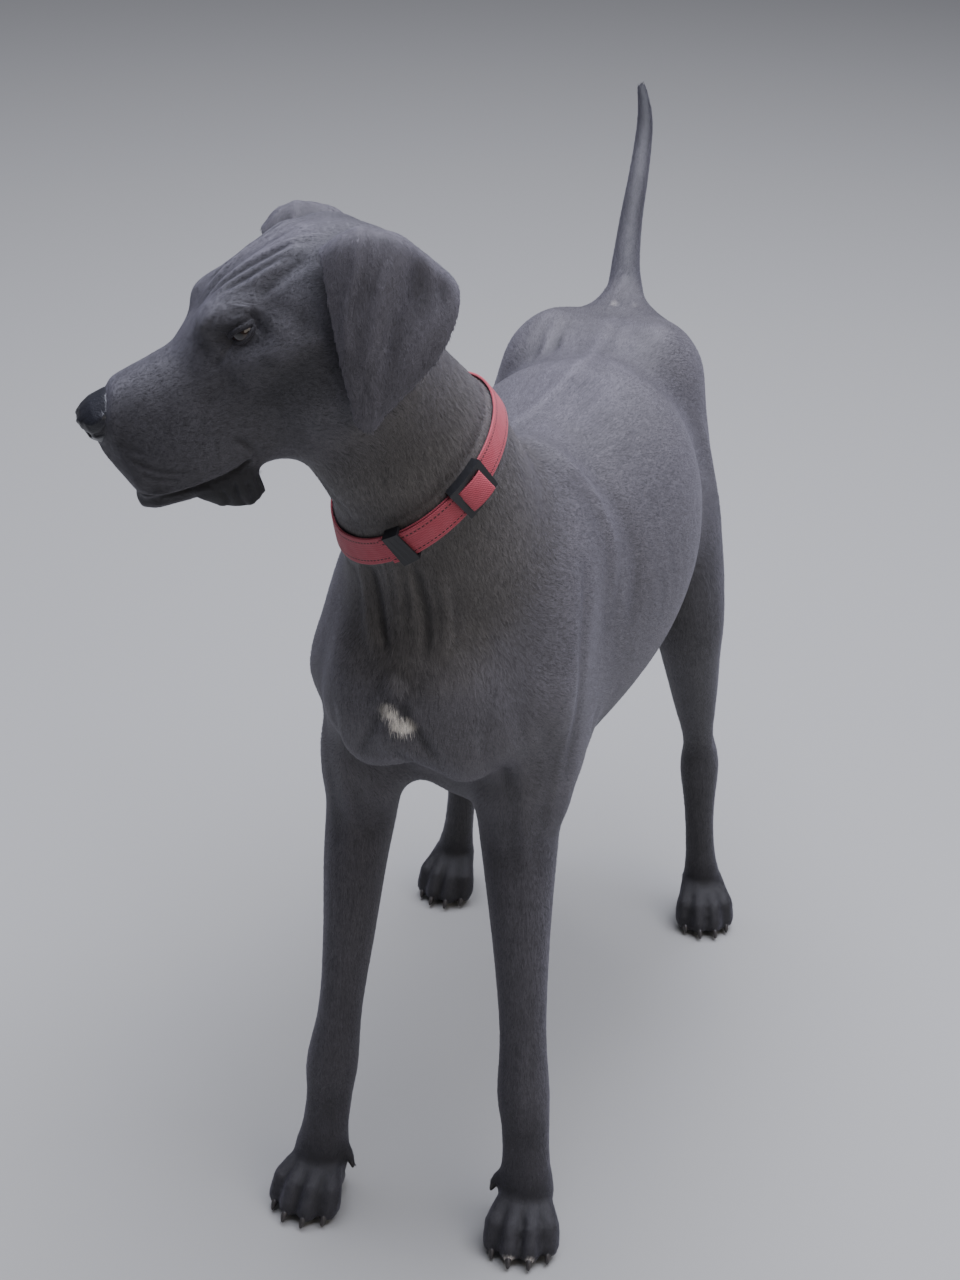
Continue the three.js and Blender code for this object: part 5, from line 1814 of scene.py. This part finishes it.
@dataclass(frozen=True)
class Fringe:
    """A place where the coat is longer and stands out from the body.

    Attributes:
        centre: its middle in the body's frame.
        reach: its half sizes.
        longer: how many times longer the tufts are.
        stand: how much further their tips stand off, in millimetres.
    """

    centre: tuple[float, float, float]
    reach: tuple[float, float, float]
    longer: float
    stand: float


FRINGES = (
    Fringe((80, -200, 420), (40, 40, 110), 1.4, 2.0),
    Fringe((-88, -208, 420), (40, 40, 110), 1.4, 2.0),
    Fringe((60, 330, 560), (60, 60, 130), 1.4, 1.6),
    Fringe((-60, 320, 560), (60, 60, 130), 1.4, 1.6),
    Fringe((0, -380, 640), (40, 50, 120), 1.2, 1.4),
    Fringe((0, 60, 470), (60, 200, 60), 1.3, 1.6),
    Fringe((-30, 520, 770), (60, 260, 90), 1.2, 0.4),
)


@dataclass
class Coat:
    """Tufts of short fur over a skin, as thin tapered blades along the lie of the coat.

    Attributes:
        name: the start of its pieces' names.
        seed: what its random draws start from.
        width: a blade's width at its root, in millimetres.
        most: blades in one piece.
        patch: how wide a blade's patch on the unwrap is.
    """

    name: str
    seed: int
    width: float = 0.6
    most: int = 64000
    patch: float = 0.003

    def roots(self, skin: Skin, unwrap: Unwrap, maps: dict[str, np.ndarray]) -> dict[str, np.ndarray]:
        """Chooses where tufts grow.

        Args:
            skin: the skin.
            unwrap: the unwrap that gives each root its place.
            maps: the skin's colours, lie and moisture.

        Returns:
            Arrays of each root's place, normal, lie, colour, length, stand and place on the unwrap.
        """
        generator = np.random.default_rng(self.seed)
        mesh = skin.obj.data
        mesh.calc_loop_triangles()
        corner = np.empty(len(mesh.loop_triangles) * 3, int)
        mesh.loop_triangles.foreach_get("vertices", corner)
        corner = corner.reshape(-1, 3)
        a, b, c = (skin.co[corner[:, k]] for k in range(3))
        area = np.linalg.norm(np.cross(b - a, c - a), axis=1) / 2 * 1e4
        region = skin.region[corner[:, 0]]
        density = np.array([GROWTH[r].density for r in Region])[region]
        wet = maps["moist"][corner].mean(1)
        density = density * np.clip(1 - 2.5 * wet, 0, 1)
        middle = skin.anatomy.body.inward((a + b + c) / 3)
        density[middle[:, 2] < 6] = 0
        density *= self.off_collar(middle)
        wanted = area * density
        count = np.floor(wanted + generator.uniform(size=len(wanted))).astype(int)
        face = np.repeat(np.arange(len(count)), count)
        r1 = np.sqrt(generator.uniform(size=len(face)))
        r2 = generator.uniform(size=len(face))
        share = np.stack([1 - r1, r1 * (1 - r2), r1 * r2], 1)[:, :, None]
        points = corner[face]

        def blend(values: np.ndarray) -> np.ndarray:
            """Values of the skin's points, at the roots."""
            return (values[points] * share).sum(1)

        place = blend(skin.co)
        normal = unit(blend(skin.normal))
        lie = blend(maps["lie"])
        lie = lie + np.cross(normal, lie) * generator.normal(0, 0.16, len(face))[:, None]
        lie = unit(lie - normal * (lie * normal).sum(1)[:, None])
        region = skin.region[points[:, 0]]
        length = np.array([GROWTH[r].length for r in Region])[region]
        stand = np.array([GROWTH[r].stand for r in Region])[region]
        body = skin.anatomy.body.inward(place)
        for fringe in FRINGES:
            weight = Swell(False, fringe.centre, fringe.reach, 1.0).weight(body)
            length = length * (1 + (fringe.longer - 1) * weight)
            stand = stand + fringe.stand * weight
        length *= generator.uniform(0.7, 1.25, len(face))
        stand *= generator.uniform(0.5, 1.3, len(face))
        tone = generator.normal(1.0, 0.15, len(face))
        colour = blend(maps["colour"]) * np.clip(tone, 0.65, 1.5)[:, None]
        return {
            "place": place,
            "normal": normal,
            "lie": lie,
            "colour": colour,
            "length": length,
            "stand": stand,
            "uv": unwrap.place(place, normal, region),
        }

    def off_collar(self, body: np.ndarray) -> np.ndarray:
        """Zero under the strap, where no tuft grows, and one elsewhere."""
        away = (body - np.array(COLLAR_CENTRE)) @ unit(np.array(COLLAR_NORMAL))
        near = np.linalg.norm(body - np.array(COLLAR_CENTRE), axis=1) < 150
        return np.where(near & (np.abs(away) < STRAP_WIDTH / 2 - 1), 0.0, 1.0)

    def blades(
        self, number: int, roots: dict[str, np.ndarray], material: bpy.types.Material
    ) -> bpy.types.Object:
        """One piece of the coat.

        Args:
            number: the piece's number.
            roots: its share of the roots.
            material: the coat's material.

        Returns:
            The piece.
        """
        n = len(roots["place"])
        side = np.cross(roots["normal"], roots["lie"]) * (self.width / 2 * MM)
        long = (roots["length"] * MM)[:, None]
        up = (roots["stand"] * MM)[:, None]
        root = roots["place"] - roots["normal"] * 0.25 * MM
        middle = root + roots["lie"] * long * 0.5 + roots["normal"] * (up * 0.75 + 0.25 * MM)
        tip = root + roots["lie"] * long + roots["normal"] * up
        points = np.stack([root - side, root + side, middle + side * 0.7, middle - side * 0.7, tip], 1)
        start = np.arange(n)[:, None] * 5
        quads = start + np.array([[0, 1, 2, 3]])
        tips = start + np.array([[3, 2, 4]])
        mesh = bpy.data.meshes.new(f"{self.name}_{number}")
        mesh.vertices.add(n * 5)
        mesh.vertices.foreach_set("co", points.ravel())
        corners = np.concatenate([quads, tips], 1).ravel()
        mesh.loops.add(len(corners))
        mesh.loops.foreach_set("vertex_index", corners)
        mesh.polygons.add(n * 2)
        starts = (np.arange(n)[:, None] * 7 + np.array([[0, 4]])).ravel()
        mesh.polygons.foreach_set("loop_start", starts)
        mesh.update(calc_edges=True)
        # Painted shade at each blade's root, where it lies under the others, and a painted highlight at its
        # tip
        shade = np.array([0.72, 0.72, 1.0, 1.0, 1.28])[None, :, None]
        colour = np.clip(roots["colour"][:, None, :] * shade, 0, 1)
        write_attribute(mesh, "coat", "FLOAT_VECTOR", colour.reshape(-1, 3))
        strand = roots["place"] / MM
        write_attribute(mesh, "strand", "FLOAT_VECTOR", np.repeat(strand, 5, axis=0))
        write_attribute(mesh, "moist", "FLOAT", np.zeros(n * 5))
        half = self.patch / 2
        patch = half * np.array([[-1, -1], [1, -1], [1, 0], [-1, 0], [-1, 0], [1, 0], [0, 1]])
        uv = roots["uv"][:, None, :] + patch[None]
        layer = mesh.uv_layers.new(name="OFBake")
        layer.data.foreach_set("uv", uv.reshape(-1, 2).astype(np.float32).ravel())
        piece = link_piece(f"{self.name}_{number}", mesh, material)
        return finish_piece(piece, "coat")

    def build(
        self, skin: Skin, unwrap: Unwrap, maps: dict[str, np.ndarray], material: bpy.types.Material
    ) -> None:
        """Grows the coat, in as many pieces as it needs.

        Args:
            skin: the skin.
            unwrap: the unwrap.
            maps: the skin's colours, lie and moisture.
            material: the coat's material.
        """
        roots = self.roots(skin, unwrap, maps)
        total = len(roots["place"])
        order = np.argsort(roots["place"][:, 1], kind="stable")
        pieces = max(1, math.ceil(total / self.most))
        for number, share in enumerate(np.array_split(order, pieces)):
            self.blades(number + 1, {key: values[share] for key, values in roots.items()}, material)


# Nose, eyes and claws


@dataclass
class Nose:
    """The leather of the nose, with comma-shaped nostrils and the groove between them."""

    voxel: float = 0.9

    def build(self, anatomy: Anatomy, nodes: dict[str, bpy.types.Object]) -> bpy.types.Object:
        """Builds the nose.

        Args:
            anatomy: the frames.
            nodes: the CAD nodes by name.

        Returns:
            The nose.
        """
        mesh = bpy.data.meshes.new("nose_leather")
        shell = merged_copy(nodes["nose"], 0.5)
        shell.to_mesh(mesh)
        shell.free()
        obj = link_piece("nose_leather", mesh)
        net = obj.modifiers.new("net", "REMESH")
        net.mode = "VOXEL"
        net.voxel_size = self.voxel * MM
        skin = Skin(settled(obj), anatomy)
        skin.relax(np.full(len(skin.co), 9.0))
        folds = [
            Fold(View.HEAD_FRONT, ((0, 0), (0, -14), (0, -30)), 1.3, -1.4, fade=0.1),
            Fold(View.HEAD_FRONT, ((6, -9), (11, -6), (17, -8)), 2.2, 1.3),
            Fold(View.HEAD_LEFT, ((300, -18), (292, -19), (283, -15), (279, -10)), 1.7, -2.4),
            Fold(View.HEAD_LEFT, ((298, -10), (290, -8), (281, -5)), 2.2, 1.1),
        ]
        sculpt(skin, folds + [folds[1].mirrored(), folds[2].mirrored(), folds[3].mirrored()])
        skin.relax(np.full(len(skin.co), 1.0))
        obj.data.materials.append(NoseLeather().material())
        return finish_piece(obj, "nose_leather", "nose")


@dataclass
class Eyes:
    """The two eyeballs, each with a slightly domed cornea."""

    radius: float = EYE_RADIUS - 0.25
    dome: float = 0.9

    def build(self, anatomy: Anatomy) -> None:
        """Builds both eyes."""
        material = WetEye().material()
        for side, hand in ((1, "left"), (-1, "right")):
            mesh = bpy.data.meshes.new("eyeball_" + hand)
            ball = bmesh.new()
            bmesh.ops.create_icosphere(ball, subdivisions=5, radius=self.radius * MM)
            sight = Vector(anatomy.head.turned(unit(np.array([0.42, 0.9 * side, 0.0]))))
            centre = Vector(anatomy.head.outward(np.array(EYE_PLACE) * np.array([1, side, 1])))
            for vertex in ball.verts:
                facing = max(vertex.co.normalized().dot(sight), 0.0)
                vertex.co += vertex.co.normalized() * self.dome * MM * float(ease((facing - 0.8) / 0.2))
            bmesh.ops.translate(ball, vec=centre, verts=ball.verts)
            ball.to_mesh(mesh)
            ball.free()
            co = np.empty(len(mesh.vertices) * 3)
            mesh.vertices.foreach_get("co", co)
            offset = (co.reshape(-1, 3) - np.array(centre)) / MM
            along = offset @ np.array(sight)
            radial = np.linalg.norm(offset - along[:, None] * np.array(sight), axis=1)
            radial = np.where(along > 0, radial, self.radius)
            write_attribute(mesh, "gaze", "FLOAT", radial)
            finish_piece(link_piece("eyeball_" + hand, mesh, material), "eye", "eye_" + hand)


@dataclass(frozen=True)
class PawPlan:
    """Where a paw's toes point, as in the solids: the foot's core, the toes' middle, and its width."""

    name: str
    core: tuple[float, float]
    toes: tuple[float, float]
    width: float


PAWS = (
    PawPlan("forepaw_left", (105, -269), (117, -331), 76),
    PawPlan("forepaw_right", (-105, -285), (-112, -344), 76),
    PawPlan("hindpaw_left", (150, 343), (171, 291), 70),
    PawPlan("hindpaw_right", (-148, 299), (-150, 244), 70),
)
TOE_HALF_WIDTH = 11.0

# Middle lines: a toe claw's as reach past the toe's tip and height, a dewclaw's as reach, side and height
CLAW_LINE = ((-9, 11.5), (-4, 12), (0.5, 11), (3.5, 8.8), (6, 5.2), (6.9, 3.4))
CLAW_RADII = (4.6, 4.7, 4.4, 3.8, 2.6, 1.0)
DEWCLAW_LINE = ((-2, 28, 55), (-1.5, 30.5, 51), (-1, 33, 46.5), (-0.5, 34.6, 42.5), (0, 35.2, 40))
DEWCLAW_RADII = (4.6, 4.6, 3.8, 2.4, 1.0)
TOE_PLACES = ((-1, 12), (-0.37, 0), (0.37, 0), (1, 12))  # share of the paw's half width, and how much shorter


@dataclass
class Claws:
    """Four blunt, curved claws on each paw, and a dewclaw's on each foreleg."""

    sides: int = 12
    rings: int = 9

    def claw(self, made: bmesh.types.BMesh, path: np.ndarray, radii: Sequence[float]) -> None:
        """Adds one claw to a mesh.

        Args:
            made: the mesh.
            path: the claw's middle line, in metres, root first.
            radii: its radius at each point of the path, in millimetres.
        """
        rings = []
        across = unit(np.cross(path[-1] - path[0], [0, 0, 1]))
        for i, (point, radius) in enumerate(zip(path, radii)):
            ahead = unit(path[min(i + 1, len(path) - 1)] - path[max(i - 1, 0)])
            up = np.cross(across, ahead)
            ring = []
            for k in range(self.sides):
                angle = 2 * math.pi * k / self.sides
                reach = across * math.cos(angle) * 0.8 + up * math.sin(angle)
                ring.append(made.verts.new(point + reach * radius * MM))
            rings.append(ring)
        for ring, following in zip(rings, rings[1:]):
            for k in range(self.sides):
                n = (k + 1) % self.sides
                made.faces.new((ring[k], ring[n], following[n], following[k]))
        made.faces.new(rings[0][::-1])
        made.faces.new(rings[-1])

    def build(self, anatomy: Anatomy) -> None:
        """Builds the claws, one piece for each paw."""
        material = ClawHorn().material()
        for plan in PAWS:
            made = bmesh.new()
            x, y = plan.core
            ahead = np.array([plan.toes[0] - x, plan.toes[1] - y, 0.0])
            reach = float(np.linalg.norm(ahead))
            ahead /= reach
            across = np.cross(ahead, [0, 0, 1])
            outermost = plan.width / 2 - TOE_HALF_WIDTH + 0.5
            for share, shorter in TOE_PLACES:
                b = share * outermost
                tip = reach - shorter
                stations = [(tip + a, z) for a, z in CLAW_LINE]
                line = [
                    np.array([x, y, 0]) + ahead * a + across * b + np.array([0, 0, z]) for a, z in stations
                ]
                path = anatomy.body.outward(np.array(line))
                self.claw(made, path, CLAW_RADII)
            if plan.name.startswith("forepaw"):
                inner = math.copysign(1.0, x)
                line = [
                    np.array([x, y, 0]) + ahead * a + across * inner * b + np.array([0, 0, z])
                    for a, b, z in DEWCLAW_LINE
                ]
                self.claw(made, anatomy.body.outward(np.array(line)), DEWCLAW_RADII)
            bmesh.ops.recalc_face_normals(made, faces=made.faces)
            mesh = bpy.data.meshes.new("claws_" + plan.name)
            made.to_mesh(mesh)
            made.free()
            piece = link_piece("claws_" + plan.name, mesh, material)
            rounder = piece.modifiers.new("round", "SUBSURF")
            rounder.levels = rounder.render_levels = 1
            settled(piece)
            finish_piece(piece, "nose_leather")


# Collar


@dataclass
class Collar:
    """The webbing strap, its laid back end, the keeper and the slider with the strap's loop in it.

    Attributes:
        slider_bar: how wide the slider's bars are.
        loop_bulge: how far the loop stands out of the slider.
        loop_sunk: how deep its ends lie in it.
        loop_thick: the webbing's thickness there.
    """

    centre: tuple[float, float, float] = COLLAR_CENTRE
    normal: tuple[float, float, float] = COLLAR_NORMAL
    mean_radius: float = 82.0
    slider_bar: float = 6.5
    loop_bulge: float = 2.6
    loop_sunk: float = 2.4
    loop_thick: float = 1.6
    loop_steps: int = 12

    def weave(self, mesh: bpy.types.Mesh, anatomy: Anatomy, stitched: float) -> None:
        """Writes the weave: millimetres along and across the strap, and whether it is stitched."""
        co = np.empty(len(mesh.vertices) * 3)
        mesh.vertices.foreach_get("co", co)
        local = anatomy.body.inward(co.reshape(-1, 3)) - np.array(self.centre)
        normal = unit(np.array(self.normal))
        front = unit(np.array([0, -1, 0]) - normal * (np.array([0, -1, 0]) @ normal))
        side = np.cross(normal, front)
        angle = np.arctan2(local @ side, local @ front)
        along = angle * self.mean_radius
        across = local @ normal
        values = np.stack([along, across, np.full(len(along), stitched)], 1)
        write_attribute(mesh, "weave", "FLOAT_VECTOR", values)

    def webbing(
        self,
        name: str,
        node: str,
        anatomy: Anatomy,
        nodes: dict[str, bpy.types.Object],
        material: bpy.types.Material,
    ) -> None:
        """A piece of webbing from its solid, with rounded edges and close rings.

        Args:
            name: the piece's name.
            node: the solid that it stands for.
            anatomy: the frames.
            nodes: the CAD nodes by name.
            material: the webbing's material.
        """
        shell = merged_copy(nodes[node])
        sharp = [e for e in shell.edges if len(e.link_faces) == 2 and e.calc_face_angle(0) > math.radians(50)]
        bmesh.ops.bevel(
            shell, geom=sharp, offset=0.7 * MM, segments=2, profile=0.5, affect="EDGES", material=-1
        )
        mesh = bpy.data.meshes.new(name)
        shell.to_mesh(mesh)
        shell.free()
        piece = link_piece(name, mesh, material)
        finer = piece.modifiers.new("finer", "SUBSURF")
        finer.subdivision_type = "CATMULL_CLARK"
        finer.levels = finer.render_levels = 2
        settled(piece)
        self.weave(piece.data, anatomy, 1.0)
        finish_piece(piece, "collar_webbing", node)

    def plastic(
        self, name: str, node: str, nodes: dict[str, bpy.types.Object], material: bpy.types.Material
    ) -> None:
        """A plastic slide from its solid, with its edges rounded."""
        shell = merged_copy(nodes[node])
        bmesh.ops.dissolve_limit(shell, angle_limit=math.radians(4), verts=shell.verts, edges=shell.edges)
        sharp = [e for e in shell.edges if len(e.link_faces) == 2 and e.calc_face_angle(0) > math.radians(40)]
        bmesh.ops.bevel(
            shell,
            geom=sharp,
            offset=0.55 * MM,
            segments=3,
            profile=0.5,
            affect="EDGES",
            material=-1,
            clamp_overlap=True,
        )
        mesh = bpy.data.meshes.new(name)
        shell.to_mesh(mesh)
        shell.free()
        piece = link_piece(name, mesh, material)
        finish_piece(piece, "collar_plastic", node)
        for polygon in piece.data.polygons:
            polygon.use_smooth = False

    def loop(
        self, anatomy: Anatomy, nodes: dict[str, bpy.types.Object], material: bpy.types.Material
    ) -> None:
        """The strap's loop round the slider's middle bar, which bulges out of its window.

        Args:
            anatomy: the frames.
            nodes: the CAD nodes by name.
            material: the webbing's material.
        """
        co = np.array([v.co for v in nodes["collar_slider"].data.vertices])
        local = anatomy.body.inward(co) - np.array(self.centre)
        normal = unit(np.array(self.normal))
        middle = local.mean(0)
        out = unit(middle - normal * (middle @ normal))
        along = np.cross(normal, out)
        start, end = (local @ along).min() + self.slider_bar, (local @ along).max() - self.slider_bar
        top = (local @ out).max() - self.loop_sunk
        made = bmesh.new()
        rows = []
        for i in range(self.loop_steps + 1):
            share = i / self.loop_steps
            height = top + self.loop_bulge * math.sin(math.pi * share) ** 0.7
            row = []
            for layer, across in ((0, -1), (0, 1), (1, 1), (1, -1)):
                place = along * (start + (end - start) * share) + out * (height - layer * self.loop_thick)
                place = place + normal * across * (STRAP_WIDTH / 2 - 1.2)
                row.append(made.verts.new(anatomy.body.outward(place + np.array(self.centre))))
            rows.append(row)
        for row, following in zip(rows, rows[1:]):
            for k in range(4):
                made.faces.new((row[k], row[(k + 1) % 4], following[(k + 1) % 4], following[k]))
        made.faces.new(rows[0])
        made.faces.new(rows[-1])
        bmesh.ops.recalc_face_normals(made, faces=made.faces)
        mesh = bpy.data.meshes.new("webbing_loop")
        made.to_mesh(mesh)
        made.free()
        piece = link_piece("webbing_loop", mesh, material)
        edges = piece.modifiers.new("edges", "BEVEL")
        edges.width, edges.segments, edges.limit_method = 0.5 * MM, 2, "ANGLE"
        settled(piece)
        self.weave(piece.data, anatomy, 0.0)
        finish_piece(piece, "collar_webbing")

    def build(self, anatomy: Anatomy, nodes: dict[str, bpy.types.Object]) -> None:
        """Builds the collar's pieces."""
        cloth = NylonWebbing().material()
        hard = MouldedPlastic().material()
        self.webbing("webbing_strap", "collar_strap", anatomy, nodes, cloth)
        self.webbing("webbing_end", "collar_end", anatomy, nodes, cloth)
        self.loop(anatomy, nodes, cloth)
        self.plastic("keeper_slide", "collar_keeper", nodes, hard)
        self.plastic("adjuster_slide", "collar_slider", nodes, hard)


# Stage, lights and camera


@dataclass(frozen=True)
class Camera:
    """The photograph's viewpoint, in the body's frame, in millimetres and degrees."""

    place: tuple[float, float, float] = (548.1, -2083.0, 1627.3)
    yaw: float = -15.846
    pitch: float = 27.444
    roll: float = 2.451
    lens: float = 67.5  # for a 36 mm long side

    def build(self, anatomy: Anatomy) -> None:
        """Creates the camera and makes it the scene's."""
        yaw, pitch, roll = (math.radians(a) for a in (self.yaw, self.pitch, self.roll))
        ahead = Vector((math.sin(yaw) * math.cos(pitch), math.cos(yaw) * math.cos(pitch), -math.sin(pitch)))
        right = ahead.cross(Vector((0, 0, 1))).normalized()
        up = right.cross(ahead)
        turned_right = right * math.cos(roll) + up * math.sin(roll)
        turned_up = up * math.cos(roll) - right * math.sin(roll)
        data = bpy.data.cameras.new("camera")
        data.lens = self.lens
        data.clip_end = 60
        camera = bpy.data.objects.new("camera", data)
        rotation = Matrix((turned_right, turned_up, -ahead)).transposed()
        camera.matrix_world = Matrix.Translation(anatomy.body.outward(self.place)) @ rotation.to_4x4()
        bpy.context.scene.collection.objects.link(camera)
        bpy.context.scene.camera = camera


@dataclass(frozen=True)
class Studio:
    """A pale floor under wide soft lights."""

    floor_half: float = 14.0  # metres
    sky: str = "#c9c9d6"
    sky_strength: float = 0.2
    top_watts: float = 460.0
    side_watts: float = 30.0

    def lamp(self, name: str, place: Vector, size: float, watts: float, colour: str) -> None:
        """Adds a square area light that points at the dog's chest."""
        data = bpy.data.lights.new(name, "AREA")
        data.size = size
        data.energy = watts
        data.color = srgb(colour)[:3]
        light = bpy.data.objects.new(name, data)
        light.location = place
        light.rotation_euler = (Vector((0, 0, 0.6)) - place).to_track_quat("-Z", "Y").to_euler()
        bpy.context.scene.collection.objects.link(light)

    def build(self) -> None:
        """Builds the floor, the lights and the sky."""
        mesh = bpy.data.meshes.new("floor")
        sheet = bmesh.new()
        bmesh.ops.create_grid(sheet, x_segments=1, y_segments=1, size=self.floor_half)
        sheet.to_mesh(mesh)
        sheet.free()
        link_piece("floor", mesh, StudioFloor().material())
        self.lamp("sky_panel", Vector((0.4, 0.3, 4.2)), 4.5, self.top_watts, "#eef0ff")
        self.lamp("window", Vector((3.2, -2.4, 2.2)), 2.5, self.side_watts, "#fff4e6")
        world = bpy.data.worlds.new("studio")
        world.use_nodes = True
        world.node_tree.nodes.clear()
        background = add_node(
            world.node_tree,
            "ShaderNodeBackground",
            {"Color": srgb(self.sky), "Strength": self.sky_strength},
        )
        add_node(world.node_tree, "ShaderNodeOutputWorld", links={"Surface": background.outputs[0]})
        bpy.context.scene.world = world


def main() -> None:
    """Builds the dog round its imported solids."""
    logging.basicConfig(level=logging.INFO, format="%(message)s")
    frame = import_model()
    nodes = frame["nodes"]
    anatomy = Anatomy.found()
    Camera().build(anatomy)
    Studio().build()

    fur = ShortFur()
    skin_fur = fur.material("short_fur", bumpy=True)
    tuft_fur = fur.material("short_fur_tufts", bumpy=False)
    unwrap = Unwrap.around(anatomy, nodes)
    coat_map = CoatMap()

    head = HeadSkin().build(anatomy, nodes)
    body = BodySkin().build(anatomy, nodes)
    for skin, stands_for, seed in ((head, ("head", "lower_jaw") + EARS, 11), (body, BODY_SOLIDS, 23)):
        maps = coat_map.store(skin)
        unwrap.lay(skin)
        skin.obj.data.materials.append(skin_fur)
        finish_piece(skin.obj, "coat", *stands_for)
        Coat("coat_" + skin.obj.name.split("_")[1], seed).build(skin, unwrap, maps, tuft_fur)
    Nose().build(anatomy, nodes)
    Eyes().build(anatomy)
    Claws().build(anatomy)
    Collar().build(anatomy, nodes)


if __name__ == "__main__":
    main()
